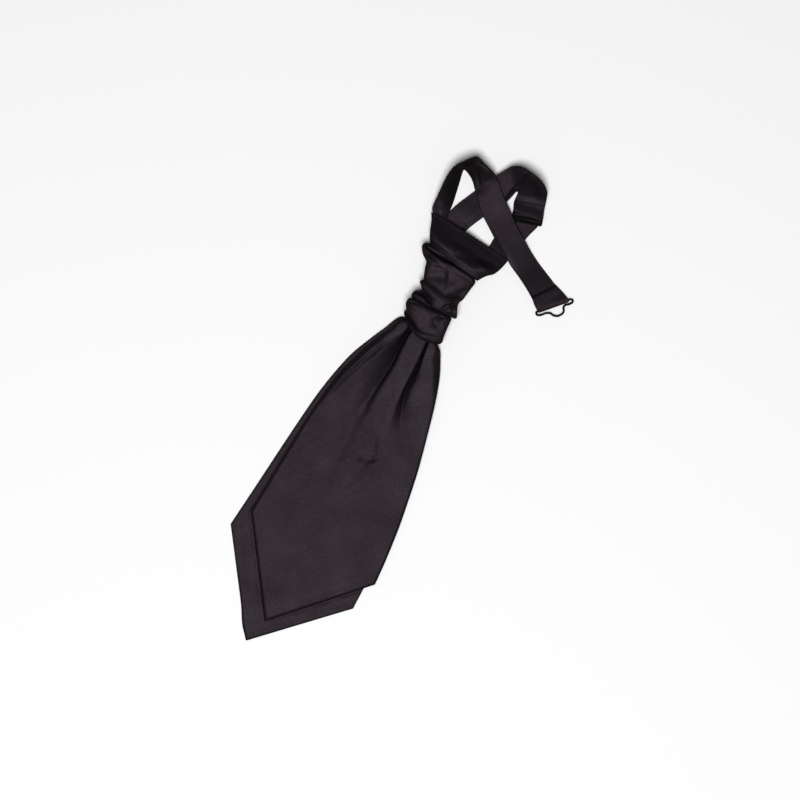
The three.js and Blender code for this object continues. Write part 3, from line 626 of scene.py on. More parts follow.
# A tail is a padded sheet whose two faces close on each other round its outline, as an ellipse
def makeTail(name, tail, underside, material):
    flat, u, outline = tailGrid(tail, tail["along"], tail["across"])
    x, y = flat[..., 0], flat[..., 1]
    distance = outlineDistance(outline, x, y)
    distance[0], distance[-1], distance[:, 0], distance[:, -1] = 0, 0, 0, 0
    floor = underside(x, y, np.broadcast_to(u, x.shape))
    level = floor + layers["tailCloth"] / 2
    lively = smooth(0, layers["swellsEdge"], distance) * smooth(*layers["swellsNeck"], y)
    level = level + tail["swell"] * lively * (1 + swells(x, y, layers["swellLength"], tail["seed"])) / 2
    level = level + layers["ripple"] * swells(x, y, layers["rippleLength"], tail["seed"] + 1)
    if "edgeDrop" in tail:
        drop, wide, *ends = tail["edgeDrop"]
        level = level - drop * (1 - smooth(0, wide, distance)) * smooth(*ends, y)
    half = edgeRound(layers["tailCloth"], distance, tail.get("edge", 1))
    if "pressed" in tail:
        depth, wide = tail["pressed"]
        over = outlineDistance(tailGrid(frontTail, *tail["overGrid"])[2], x, y)
        press = depth * np.exp(-((over / wide) ** 2)) * smooth(*tail["pressedFrom"], y)
        share, *ends = tail["pressedTip"]
        press = press * (share + (1 - share) * smooth(*ends, y))
        press = press + foldDepth(tail["folds"], x, y)
        half = half - press * smooth(0, layers["foldsEdge"], distance)
    upper = np.dstack([x, y, level + half])
    under = np.maximum(level - edgeRound(layers["tailCloth"], distance), floor - layers["sink"])
    lower = np.dstack([x, y, np.maximum(under, 0)])
    run = np.cumsum(np.hypot(*np.diff(flat[:, len(u) // 2], axis=0, prepend=flat[:1, len(u) // 2]).T))
    width = np.hypot(*(flat[:, -1] - flat[:, 0]).T)
    cloth = np.dstack([(u[None, :] - 0.5) * width[:, None], np.broadcast_to(run[:, None], x.shape)])
    return closedSheet(name, upper, lower, cloth, material)


# Underside of the lower tail: flat but for the rise into the knot
def backUnderside(x, y, u):
    return neckHeight(y)


# Largest of two heights, with a rounded corner where they cross
def softMax(a, b, corner=0.5):
    return (a + b + np.sqrt((a - b) ** 2 + corner**2)) / 2


# Underside of the upper tail: the arch less its folds, never below the tail under it, and the
# rolled left edge, a straight wall up to a crest with an exponential fall behind it
def frontUnderside(x, y, u):
    rest = layers["tailCloth"] + layers["gap"]
    folds = frontTail["folds"]
    pleats = softMax(0, archHeight(u, y) - foldDepth(folds, x, y), frontTail["pleatFloor"])
    lying, raised = frontTail["flat"]
    flat = lying - np.clip(foldDepth(folds[frontTail["flatFolds"] :], x, y), -raised, lying)
    pleats = pleats + (softMax(pleats, flat) - pleats) * smooth(*frontTail["flatFrom"], y)
    inside = x - x[:, :1]
    height, start, wide, tail = frontTail["roll"]
    wall = np.maximum(0, 1 - softMax(0, 1 - (inside - start) / wide, frontTail["rollRound"]))
    ridge = wall * np.exp(-np.maximum(inside - start - wide, 0) / tail)
    there = smooth(*frontTail["rollRises"], y) * (1 - smooth(*frontTail["rollFalls"], y))
    return rest + neckHeight(y) + pleats + height * there * ridge


backPiece = makeTail("backBlade", backTail, backUnderside, tailSatin)
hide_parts("back_blade")
frontPiece = makeTail("frontBlade", frontTail, frontUnderside, tailSatin)
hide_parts("front_blade")
print("tails made")

# Knot, sleeve and collar band: flattened tubes. Each section has its left end, the middle of its
# front and its right end; high is its height, and the two floors lift its underside.
tube = {
    "cloth": 1.9,
    "widestLevel": 0.35,  # share of a section's height
    "cornerSteep": 1.6,
    "cornerPower": 0.6,
    "foldEdge": 1.6,
    "floorTurn": (0.42, -0.12),  # where along a section its two floor heights meet
    "fineCreases": (0.4, 3),  # a share of the small creases' height, and how many times shorter
    "around": 220,
    "crowding": 0.25,
    "rim": 7,
}

knot = {
    "rows": [  # xl yl ym xr yr high floorL floorR
        [-24.2, -10.2, -22.2, 22.8, -16, 20.6, 0, 0],
        [-25.2, -8.6, -20.6, 23.5, -14, 22.8, 0, 0],
        [-24.5, -6.2, -18, 22.7, -11.4, 24, 0, 0],
        [-25.8, -4.1, -15, 21.9, -8.6, 25, 0, 0],
        [-27.7, -1.8, -10, 21.1, -4.6, 26, 0, 0],
        [-28.6, 1.2, -3.5, 20.3, 0, 26.6, 0, 0],
        [-28.4, 4, 2.5, 19.6, 5, 26.8, 0, 0],
        [-28.2, 4.8, 6, 19, 8.8, 26.2, 0, 0],
        [-27.8, 5.2, 7.4, 18.6, 10.2, 24.6, 0, 0],
    ],
    # Each fold runs from the left to the right: x y depth, width above it, width below it
    "folds": [
        # grooves above the rolled lower lip, deepest on the left
        (1.5, [[-25, -8.2, 5, 1, 1.3], [-19, -11.6, 7.4, 1.2, 1.5], [-13, -14.3, 7.4, 1.3, 1.5],
            [-8, -16.3, 5, 1, 1.2], [-3, -17.8, 2, 0.9], [6, -18.2, 0, 1, 0.8]]),
        (1.5, [[-22, -10.8, 1.6, 0.7], [-16, -15, 2.2, 0.8], [-10, -17.8, 1.6, 0.8], [-4, -19.6, 0, 0.7]]),
        (1.5, [[-20, -13.4, 0.6, 0.5], [-14, -17.6, 0.9, 0.5], [-8, -19.8, 0, 0.5]]),
        (1.6, [[-4, -18.4, 0, 0.8], [2, -17.2, 0.9, 0.8], [9, -15.2, 0.9, 0.8], [15, -13.6, 0.4, 0.8],
            [20, -12, 0, 0.6]]),
        # crescent dimple on the right, soft at its lower end and dark at its upper one
        (1.6, [[7, -9, 0, 4], [6.8, -6, 0.7, 4.5, 5], [6, -3, 1.1, 4, 7], [5.4, 0, 1.4, 3.4, 7],
            [6.4, 3, 2.2, 2, 3.2], [7.5, 5.2, 2.6, 1.5, 2], [10, 6.6, 1.2, 1.2, 2], [13, 8, 0, 1.2, 1.6]]),
        (1.4, [[5.6, -2, 0.4, 1.4], [8.4, -3.8, 1.3, 1.4], [11, -4.6, 0.3, 1.4]]),
        # short wrinkles that fan out from the left end
        (1.7, [[-28, 0, 1.6, 1.6], [-22, 4, 1.6, 1.2, 1.6], [-17, 4.8, 1, 1, 1.4], [-10, 5, 0, 0.8, 1]]),
        (1.6, [[-27.5, -2.4, 1, 0.8, 0.9], [-21, -1.6, 0.5, 0.8], [-15, -2.4, 0, 0.8]]),
        (1.6, [[-26, -5, 0.9, 0.7], [-20, -6.4, 0.5, 0.8], [-15, -8.4, 0, 0.8]]),
    ],
    "power": 0.18,  # of the sine that makes its dome: lower is flatter
    "along": 100,
    "crease": (0.07, 11, 0.9, 1.6),  # height, length, direction and spread of the small creases
    "seed": 21,
}

sleeve = {
    "rows": [
        [-24.4, 1, 2, 15.2, 4, 19, 2.4, 2.4],
        [-25, 5.8, 7.9, 15.4, 10.6, 19.4, 2.4, 2.4],
        [-28, 9.4, 10.6, 21.4, 12.6, 21.8, 2.4, 2.4],
        [-27.6, 13.6, 13, 22.4, 14.2, 23.6, 0.6, 0.6],
        [-22.4, 18.8, 16, 20.8, 17.6, 24.6, 0, 0],
        [-24.4, 21.6, 20, 18.4, 21.6, 25.4, 0, 0],
        [-28.2, 25, 23.4, 16.8, 25.2, 25, 0, 0],
        [-26.3, 28.2, 26.6, 16.4, 28.8, 23.8, 0, 0],
        [-28.4, 33, 30.6, 17.9, 32.8, 24.4, 0, 0],
        [-31.3, 39.4, 36.6, 18.2, 38.4, 25.4, 0, 0],
        [-33.8, 45.4, 44, 18.7, 46, 25.8, 0, 0],
        [-40.2, 49.4, 50, 19.2, 51, 26.2, 0, 0],
        [-45.4, 55.8, 54.4, 18.9, 54, 24.8, 0, 0],
        [-43.6, 61, 57, 17.4, 55.8, 16, 2.4, 2.4],
        [-36, 63, 60, 15.2, 59.2, 12.2, 3.6, 2.8],
        [-34.8, 65.4, 62.6, 13.6, 61.8, 10.2, 4.6, 3],
    ],
    "folds": [
        # dark valley that cuts off the small lobe on the left
        (1.3, [[-28, 13.6, 3.6, 1.6, 1], [-22, 15, 5.4, 2, 1.2], [-15.4, 15.4, 5.6, 2.2, 1.3],
            [-10.4, 13, 5.2, 2.6, 1.6], [-7, 9.8, 3, 2.2, 1.5]]),
        # fan crease on the right of the second roll, and the dark lobe beyond it
        (1.4, [[4.4, 10, 1, 1.6, 2], [6, 14, 2, 1.4, 3], [8.2, 20, 2.4, 1.3, 3], [14.6, 25.4, 2.6, 0.9, 3]]),
        (2, [[14, 21, 1.5, 2.2], [17.4, 16, 0.9, 2.2]]),
        (1.6, [[10, 13.4, 0.8, 0.8], [15, 14.6, 1.2, 0.8], [20, 15.4, 0.8, 0.8]]),
        # crease between the two rolls, thin in the middle
        (1.4, [[-25, 28.8, 1, 1.6, 1], [-16, 27.8, 1.2, 1.4, 0.8], [-8, 27.2, 0.6, 1.3, 0.7],
            [1, 27, 0.4, 1.3, 0.7], [7, 28.8, 2.2, 1.8, 1], [17, 32.6, 2, 1.8, 1]]),
        # slanting hollow, ridge and side hollow on the first roll
        (2, [[-26, 34.4, 0.8, 4], [-20, 37, 2, 6, 5.5], [-14, 40, 3, 8.5, 7.5], [-9.6, 42.2, 2.3, 9, 8],
            [-6.4, 44, 0.5, 8, 7]]),
        (2, [[-1, 29, -0.4, 4], [3, 37, -0.9, 4.6], [8, 46, -0.4, 5]]),
        (2, [[11, 28, 2.6, 2.6, 7], [13, 36, 3, 3, 7], [15.4, 43, 0.9, 2.6, 6], [16, 47, 0, 2.6, 6]]),
        (1.8, [[-24, 44.4, 0.5, 1.4], [-18.6, 46.8, 0.6, 1.5], [-13, 48.6, 0, 1.4]]),
        # pinched wrinkles under the left end of the first roll
        (1.6, [[-39.4, 50.8, 2.2, 0.9], [-33, 50.4, 2.2, 0.9], [-27, 49.8, 1.2, 0.9], [-22, 50, 0, 0.9]]),
        (1.6, [[-42, 54.4, 1.2, 0.8], [-36.6, 53, 1.8, 0.9], [-31, 53.2, 0, 0.9]]),
        # deep end of the upper crease
        (1.4, [[-40, 57.4, 3.6, 1.5, 1.6], [-33, 56.8, 6, 1.7, 1.8], [-22, 56.8, 5.6, 1.6],
            [-12, 57.6, 2.4, 1.3], [-2, 58, 0, 1.3]]),
        # the crease is shallow on the right
        (2, [[-18, 56.8, 0, 1.8, 2.1], [-8, 56.7, -5.2, 2.1], [0, 56.5, -6.8, 2.7, 2.1],
            [8, 56.3, -6.6, 2.1, 1.8], [18, 56.1, -8.6, 2.3, 2]]),
        # short wrinkles on the right edge
        (1.6, [[18.6, 40, 0.8, 0.6], [14.6, 40.6, 0, 0.6]]),
        (1.6, [[18.9, 47, 0.8, 0.6], [14.6, 46.4, 0, 0.6]]),
        (1.6, [[18.9, 51.6, 0.8, 0.6], [13.6, 51, 0, 0.6]]),
    ],
    "power": 0.2,
    "along": 216,
    "crease": (0.07, 12, 1.1, 1.4),
    "seed": 31,
}

collar = {
    "rows": [
        [-40.8, 63.4, 59, 20.4, 57.6, 21.4, 0, 0],
        [-42.4, 65.4, 61.2, 22.6, 61.8, 22.1, 0.6, 0],
        [-44.4, 68.4, 64.6, 25.6, 66.2, 22.2, 2, 0],
        [-46.8, 72.8, 69.8, 29.8, 70.6, 19, 3.8, 0],
        [-49, 77.4, 75.4, 32.2, 76, 15, 4.6, 0],
        [-51.4, 82.6, 81.4, 33.7, 82.4, 11.6, 4.7, 0],
        [-54.2, 86.8, 87.4, 34.4, 87.2, 9.2, 4.7, 0],
        [-55.8, 88.8, 90.4, 34.6, 89.6, 8.4, 4.7, 0],
    ],
    "folds": [
        # soft creases that sweep up from the left
        (2, [[-30, 62.6, 0.5, 3.4, 2.6], [-18, 64, 1, 3.8, 2.6], [-8, 67, 1.2, 4, 2.8], [2, 71.4, 0.9, 4, 3],
            [11, 76, 0, 3]]),
        (2, [[-34, 75, 0.4, 3.4], [-18, 77, 0.8, 3.8], [-2, 78, 1, 4], [12, 77, 1, 3.8], [27, 78.4, 0.6, 3]]),
        # the bright corner on the right ends in a short step
        (2, [[8, 68.4, 0, 5], [14, 70.4, -2.8, 4.6, 5], [20, 71.2, -3.6, 4.6, 5], [30, 71, -1.6, 4, 5]]),
        # puckers where the left strap is sewn in
        (1.6, [[-49.4, 83.6, 0.8, 0.9], [-48, 88.4, 2, 0.9]]),
        (1.6, [[-44.6, 84.6, 0.6, 0.7], [-43.6, 88.6, 1.4, 0.8]]),
        (1.6, [[-39.4, 85.4, 0.5, 0.7], [-39, 89, 1.2, 0.7]]),
        # pressed fold line of the upper edge
        (2, [[-30, 86.6, 0.12, 0.9], [0, 87.8, 0.12, 0.9], [30, 86.6, 0.12, 0.9]]),
    ],
    "power": 0.34,
    "along": 110,
    "crease": (0.06, 15, 1.5, 2.0),
    "seed": 41,
}


# One point of a section, its wall moved in by inset. Over the widest level the front is a dome,
# sine to a power, with the folds pressed into it; under it the back is flat with round corners.
def sectionPoints(spec, rows, angle, inset):
    xl, yl, ym, xr, yr, high, floorL, floorR = (rows[:, None, k] for k in range(8))
    c, s = np.cos(angle)[None, :], np.sin(angle)[None, :]
    x = (xl + xr) / 2 + ((xr - xl) / 2 - inset) * c
    y = ym + (yr - yl) / 2 * c + ((yl + yr) / 2 - ym) * c * c
    floor = np.maximum(0, floorR + (floorL - floorR) * smooth(*tube["floorTurn"], c)) + inset
    tall = high - 2 * inset
    below = tube["widestLevel"] * tall
    drop = np.minimum(1, tube["cornerSteep"] * np.maximum(-s, 0) ** tube["cornerPower"])
    dome = (tall - below) * np.maximum(s, 0) ** spec["power"]
    height, length, axis, spread = spec["crease"]
    pressed = foldDepth(spec["folds"], x, y) - height * swells(x, y, length, spec["seed"], axis, spread)
    share, times = tube["fineCreases"]
    pressed = pressed - share * height * swells(x, y, length / times, spec["seed"] + 1, axis, spread)
    z = floor + below - below * drop + dome - np.clip(tube["foldEdge"] * s, 0, 1) * pressed
    return np.dstack([x, y, z])


# Half circle from one ring of a wall to the other, bulging out past the wall's end by half the
# cloth's thickness
def rimRings(first, second, before):
    flat = (first - before)[:, :2].mean(axis=0)
    beyond = np.append(flat / np.hypot(*flat), 0) * tube["cloth"] / 2
    turn = np.linspace(0, np.pi, tube["rim"] + 2)[1:-1, None, None]
    return first + (second - first) * (1 - np.cos(turn)) / 2 + beyond * np.sin(turn)


# The outer wall, a rounded rim, the inner wall and a rounded rim again, closed in both directions
def makeTube(name, spec, material):
    angle = 2 * np.pi * np.arange(tube["around"]) / tube["around"]
    rows = alongRows(spec["rows"], (len(spec["rows"]) - 1) * crowded(spec["along"], tube["crowding"]))
    outer = sectionPoints(spec, rows, angle, 0)
    inner = sectionPoints(spec, rows, angle, tube["cloth"])
    farRim = rimRings(outer[-1], inner[-1], outer[-2])
    nearRim = rimRings(outer[0], inner[0], outer[1])[::-1]
    return closedRing(name, np.concatenate([outer, farRim, inner[::-1], nearRim]), material)


knotPiece = makeTube("knotWrap", knot, knotSatin)
sleevePiece = makeTube("ruchedSleeve", sleeve, knotSatin)
collarPiece = makeTube("collarBand", collar, knotSatin)
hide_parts("knot_wrap")
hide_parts("ruched_sleeve")
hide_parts("collar_band")
print("knot, sleeve and collar made")

# Wire of the hook and of the eye, with the room that a hem leaves round it
wire = {"thick": 2.1, "level": 2.1, "room": 0.05, "around": 20}

strap = {
    "steepShare": 0.76,  # share of the width over which a bend gains its height
    "steepRound": 0.1,
    "curlReach": 2.6,
    "hemGap": 0.05,
    "hemRise": (1.2, 1),  # how far before and past the hem's end a strap rises over it
    "barRise": (9, 0.2),  # distances from the bar between which it rises to go round it
    "hemNarrow": 0.95,  # width of the hem's lower layer, as a share of the upper one's
    "hemSteps": (15, 45),  # rows round the wire and along the lower layer
    "calm": 3,  # over this way before the bar its waves die away, and before the hem its bends
    "wave": (0.1, 34, 1.2),  # height, length and spread of the slow waves
    "ripple": (0.05, 8, 0.6),  # the same for the ripples along the edges
    "rippleEdge": 7,  # how far in from the edge they reach
    "stitch": (0.16, 2.4, 0.5),  # depth, distance from the edge and width of the stitched line
    "foldsEdge": 1.2,  # how far in from the edge the stitches and the folds are full
    "leastRoom": 0.01,  # counted under a strap that lies on something
    "leastHeight": 0.02,  # of the upper face
    "crowding": (0.6, 0.15),  # how much closer the points lie at the edges, and at the ends
}

# Neck straps: each station has its inner, lower edge and its outer, upper edge, and the share by
# which the height between them is gained on the inner part, so that the outer edge lies flat. Where
# a strap turns it stands nearly on edge and leans outwards.
hookStrap = {
    "stations": [  # xi yi zi xo yo zo bend
        [-35.6, 80.5, 7.3, -43.6, 80.5, 7.3, 0],
        [-37.4, 88, 7.3, -50, 87.4, 7.3, 0],
        [-39.6, 94, 7, -57, 92.4, 7.8, 0],
        [-41, 101, 5, -59, 101.6, 12, 0.2],
        [-42.6, 109, 2.4, -60.2, 110.6, 17, 0.3],
        [-45.4, 119, 0.4, -61.8, 121, 20.6, 0.3],
        [-48.6, 130.5, 0, -62.3, 131.6, 22.8, 0.4],
        [-51.3, 139.6, 0, -60.4, 140.8, 24.4, 0.5],
        [-51.9, 142.6, 0, -55.9, 148.6, 25, 0.7],
        [-50.2, 143.4, 0, -51.2, 156.2, 22.8, 0.9],
        [-46.6, 142.4, 0, -46.2, 160.4, 19.8, 0.6],
        [-42, 140.4, 0.4, -37, 158.6, 19, 0.3],
        [-36.8, 136.8, 1.8, -29.6, 157, 17, 0.2],
        [-31.5, 131.8, 3.6, -22.6, 155.3, 13, 0],
        [-25, 125.6, 4.8, -15.2, 151, 9.4, 0],
        [-17.6, 119.4, 4.9, -7.8, 145, 7, 0],
        [-8.6, 113, 4.2, 2.6, 138, 5.6, 0],
        [0.4, 107.8, 3.8, 12, 132, 4.4, 0],
        [10, 102.2, 3.9, 22.4, 124.6, 4.2, 0],
        [20.8, 95.8, 4.6, 31.8, 119.4, 3.3, 0],
        [31, 91.6, 4.9, 40.4, 115, 2.4, 0],
        [41, 86.6, 4.2, 50.4, 109.8, 1.2, 0],
        [52.6, 82.1, 4.4, 61.4, 105.2, 0.2, 0],
        [64.5, 76.8, 5.2, 72.8, 101, 0, 0],
        [74.6, 71.4, 5.2, 86.8, 96.1, 0, 0],
        [81.4, 66.6, 3.4, 97.6, 93.4, 0, 0],
        [88, 62.6, 0, 108.4, 89, 0, 0],
    ],
    "thick": 1.2,
    "along": 460,
    "across": 36,
    "hem": {"from": 24.12, "bar": [[86.6, 63.6], [106, 88.9]]},
    # Each fold: x y depth, width on its right, width on its left where it runs down
    "folds": [
        # where the strap turns at the top
        (1.7, [[-46, 156.6, 0.4, 0.8], [-36, 156.2, 0.8, 0.9], [-24, 154.8, 0.4, 0.8]]),
        (1.7, [[-22, 154, 0.6, 5, 3], [-24, 147, 1.6, 8, 4], [-28, 137, 1.6, 8, 4], [-30, 130, 0, 5, 2]]),
        (1.8, [[-45, 150, 0, 2], [-38, 146, 1, 2.4], [-31, 139, 1.4, 2]]),
        # bumps and notches where the pressed strap comes out of the collar
        (2, [[-51, 107, 0, 3], [-50.4, 101, -1.2, 3.4], [-50, 96.6, 0, 3]]),
        (1.6, [[-42, 101, 0.4, 1.8, 2], [-43.4, 95, 1.3, 2], [-45.4, 86, 1.5, 1.6, 1.8]]),
        (1.6, [[-54.6, 95, 0.4, 1.4], [-49, 90.4, 1.3, 1.7], [-47, 85, 1.1, 1.3]]),
        # stitched line where the hem round the hook's bar ends
        (1.4, [[88.2, 94.4, 1.7, 1.1, 4], [73.4, 73, 1.7, 1.1, 4]]),
    ],
    "pressed": 0.8,
    "curl": [0] * 16 + [0.6, 1, 1.4, 2, 1.6, 0.6] + [0] * 5,
    "seed": 51,
}

eyeStrap = {
    "stations": [
        [8.6, 78, 2.7, 25, 78, 2.7, 0],
        [10.2, 87, 2.7, 27.6, 87, 2.7, 0],
        [11.1, 93, 2.3, 33.6, 93.4, 2.3, 0],
        [10.8, 101, 1.3, 35.6, 103, 1.3, 0],
        [11.6, 111, 0.4, 37.4, 113, 0.4, 0],
        [12.6, 121, 0, 38.9, 123.4, 0, 0],
        [13, 130, 0, 41.2, 134, 0, 0],
        [11.2, 136.4, 0, 41.4, 144, 0, 0],
        [8, 142.8, 0, 37.8, 152.6, 0, 0],
        [6.9, 148.4, 0, 34.4, 161.4, 2.6, 0.2],
        [6.5, 151.6, 0, 30.2, 169, 9, 0.5],
        [5.9, 153.2, 0, 20.6, 174.2, 16, 0.5],
        [5.4, 153.4, 0, 8.6, 176, 18.6, 0.6],
        [4.7, 152.6, 0, -4, 175.8, 14.6, 0.7],
        [4.2, 150.4, 0, -12.4, 171.2, 9, 0.7],
        [3.6, 146.4, 0, -17, 163.6, 6.4, 0.7],
        [2.4, 140.6, 0, -21.2, 154.8, 4.6, 0.6],
        [0.2, 134, 0.6, -25.3, 145, 2.4, 0],
        [-3.6, 126, 1.6, -29.4, 134.6, 0.4, 0],
        [-7.8, 117, 2, -33.8, 123, 0, 0],
        [-11.6, 108, 1.6, -38, 111.6, 0, 0],
        [-15, 98.6, 0.4, -41, 100, 0, 0],
        [-17.4, 89.4, 0, -43.2, 89.4, 0, 0],
        [-19, 80, 0, -44.2, 80, 0, 0],
    ],
    "thick": 1.1,
    "along": 400,
    "across": 34,
    "hem": {"from": 22.5, "bar": [[-18.6, 82], [-44.8, 82]]},
    "folds": [
        # sharp line where the arch turns over, and a softer one beyond it
        (1.4, [[4.4, 174.6, 2.4, 8, 0.8], [3, 163, 5, 10, 0.8], [0, 146, 3.6, 8, 0.8],
            [-1.6, 138, 0, 3, 0.8]]),
        (2, [[11, 169, 0.8, 4, 5], [19, 163, 1.6, 4, 6], [27, 155.4, 0.4, 4, 5]]),
        # where it bends up through the slider's slot
        (2, [[15.6, 130.4, 0.8, 0.9], [41.8, 139.4, 0.8, 0.9]]),
    ],
    "pressed": 0.7,
    "curl": [0] * 9 + [1, 2, 2.6, 3, 3, 3, 2.4, 1.6] + [0] * 7,
    "seed": 61,
}

# The folded-back layer lies on the eye strap, from the slider to that strap's hem. Its places are
# those of that strap's stations.
adjuster = {
    "from": 6.72,
    "to": 22.1,
    "thick": 1.1,
    "lift": 1.7,
    "overSlider": 3.0,
    "comesDown": (6.9, 9.0),
    "short": 0.15,  # share of the width by which its inner edge falls short
    "shortFrom": (7.5, 12.4),
    "along": 330,
    "across": 32,
    "folds": eyeStrap["folds"][:2],
    "grooves": [(8.42, 0.35, 0.5)],  # the line sewn across it: place, depth and width
    "pressed": 0.7,
    "seed": 71,
}


# The eye strap's stations, raised, their inner edge moved out by a share of the width
def adjusterStations():
    rows = np.array(eyeStrap["stations"], float)
    places = np.arange(len(rows))
    short = (adjuster["short"] * smooth(*adjuster["shortFrom"], places))[:, None]
    rows[:, :3] += (rows[:, 3:6] - rows[:, :3]) * short
    lifted = adjuster["lift"] + np.array(eyeStrap["curl"])
    lifted += adjuster["overSlider"] * (1 - smooth(*adjuster["comesDown"], places))
    rows[:, 2] += lifted
    rows[:, 5] += lifted
    return rows


# Unit normals of a grid of points, upwards in its first row
def gridNormals(grid):
    normal = np.cross(np.gradient(grid, axis=0), np.gradient(grid, axis=1))
    normal /= np.linalg.norm(normal, axis=2, keepdims=True)
    return normal * np.sign(normal[0, normal.shape[1] // 2, 2])


# Points of rows at shares of the way from their inner to their outer edge
def acrossRows(rows, share):
    return rows[:, None, :3] + (rows[:, None, 3:6] - rows[:, None, :3]) * share


# Middle surface of a strap at shares w of its width: straight from edge to edge, but steeper over
# its inner part by the bend, and raised by 1 - exp(-(distance / reach) ^ 2) where its edge curls
def strapMiddle(spec, stations, places, w):
    rows = alongRows(stations, places)
    middle = acrossRows(rows, w) + np.array([0, 0, spec["thick"] / 2])
    steep = 1 - softMax(0, 1 - w / strap["steepShare"], strap["steepRound"]) - w
    middle[..., 2] += rows[:, 6:7] * (rows[:, 5:6] - rows[:, 2:3]) * steep.T
    if "curl" in spec:
        curl = np.interp(places, np.arange(len(stations)), spec["curl"])[:, None]
        inward = w.T * np.linalg.norm(rows[:, 3:6] - rows[:, :3], axis=1)[:, None]
        middle[..., 2] += curl * (1 - np.exp(-((inward / strap["curlReach"]) ** 2)))
    return middle


# Moves the last station onto the line of the wire's bar, and gives the way out over the bar
def endAtBar(stations, bar):
    start, finish = np.array(bar, float)
    along = (finish - start) / np.hypot(*(finish - start))
    ends = stations[-1].copy()
    for k in (0, 3):
        stations[-1, k : k + 2] = start + along * np.dot(ends[k : k + 2] - start, along)
    out = ends[:2] - stations[-1, :2]
    return out / np.hypot(*out)


# The strap rises smoothly over its own hem, folds round the wire in a half circle and runs back
# flat under itself. Also gives each row's way to the bar, and the way at which the hem ends.
def addHem(spec, stations, places, w, middle, out):
    thick, hemFrom = spec["thick"], spec["hem"]["from"]
    radius = wire["thick"] / 2 + wire["room"] + thick / 2
    centre = middle[:, len(w) // 2]
    steps = np.linalg.norm(np.diff(centre, axis=0, append=centre[-1:]), axis=1)
    toBar = np.cumsum(steps[::-1])[::-1][:, None]
    atHem = np.interp(hemFrom, places, toBar[:, 0])
    before, past = strap["hemRise"]
    rise = (thick + strap["hemGap"]) * smooth(atHem + before, atHem - past, toBar)
    overBar = wire["level"] + radius - thick * 1.5 - strap["hemGap"]
    middle[..., 2] += rise + overBar * smooth(*strap["barRise"], toBar)
    roundWire, backwards = strap["hemSteps"]
    turn = np.linspace(np.pi / 2, -np.pi / 2, roundWire)[1:, None, None]
    narrow = 0.5 + (w - 0.5) * strap["hemNarrow"]
    bar = acrossRows(stations[-1:], w + (narrow - w) * (1 - np.sin(turn)) / 2)
    bar[..., 2] = wire["level"]
    fold = bar + radius * np.concatenate([np.cos(turn) * out, np.sin(turn)], axis=2)
    back = acrossRows(alongRows(stations, np.linspace(places[-1], hemFrom, backwards)[2:]), narrow)
    back[..., 2] = wire["level"] - radius
    whole = np.concatenate([middle, fold, back])
    return whole, np.pad(toBar, ((0, len(whole) - len(toBar)), (0, 0))), atHem


# Slow waves along a strap and ripples along its edges, both sums of sine waves
def strapWaves(cloth, edge, seed):
    high, length, spread = strap["wave"]
    wave = high * swells(cloth[..., 1], cloth[..., 0], length, seed, 0, spread)
    high, length, spread = strap["ripple"]
    ripple = high * swells(cloth[..., 1], cloth[..., 0], length, seed + 1, 0, spread)
    return wave + ripple * smooth(strap["rippleEdge"], 0, edge)


# A strap's two faces stand off its middle surface along its normals, closed as an ellipse at the
# edges. Shallow folds are pressed into the upper face, depth tanh(fold / depth), and what is
# deeper bends the whole strap down, as far as the room under it lets it.
def makeStrap(name, spec, stations, material):
    stations = np.array(stations, float)
    thick, hem = spec["thick"], spec.get("hem")
    atEdges, atEnds = strap["crowding"]
    w = crowded(spec["across"], atEdges)[:, None]
    first, last = spec.get("from", 0), spec.get("to", len(stations) - 1)
    places = first + (last - first) * crowded(spec["along"], atEnds)
    if hem:
        out = endAtBar(stations, hem["bar"])
    middle = strapMiddle(spec, stations, places, w)
    if hem:
        middle, toBar, atHem = addHem(spec, stations, places, w, middle, out)
    normal = gridNormals(middle)
    run = np.cumsum(gapsAlong(middle[:, len(w) // 2]))
    width = np.linalg.norm(middle[:, -1] - middle[:, 0], axis=1)[:, None]
    edge = np.minimum(w, 1 - w).T * width
    distance = np.minimum(edge, np.minimum(run, run[-1] - run)[:, None])
    distance[0], distance[-1], distance[:, 0], distance[:, -1] = 0, 0, 0, 0
    cloth = np.dstack([w.T * width, np.broadcast_to(run[:, None], edge.shape)])
    wave = strapWaves(cloth, edge, spec["seed"])
    depth, inside, wide = strap["stitch"]
    groove = depth * np.exp(-(((edge - inside) / wide) ** 2))
    for place, depth, wide in spec.get("grooves", []):
        at = np.interp(place, places, run[: len(places)])
        groove += depth * np.exp(-(((run[:, None] - at) / wide) ** 2))
    folds = foldDepth(spec["folds"], middle[..., 0], middle[..., 1])
    pressed = spec["pressed"] * np.tanh(folds / spec["pressed"])
    room = np.maximum(middle[..., 2] - thick / 2 - spec.get("lift", 0), strap["leastRoom"])
    bent = room * (1 - np.exp(-np.maximum(folds - pressed, 0) / room))
    if hem:
        wave = wave * smooth(0, strap["calm"], toBar)
        bent = bent * smooth(atHem, atHem + strap["calm"], toBar)
    middle[..., 2] -= bent
    groove = (groove + pressed) * smooth(0, strap["foldsEdge"], distance)
    upper = middle + normal * (edgeRound(thick, distance) + wave - groove)[..., None]
    lower = middle - normal * (edgeRound(thick, distance) - wave)[..., None]
    upper[..., 2] = np.maximum(upper[..., 2], strap["leastHeight"])
    lower[..., 2] = np.maximum(lower[..., 2], 0)
    print(name, "is", round(run[-1], 1), "mm along its middle")
    return closedSheet(name, upper, lower, cloth, material)


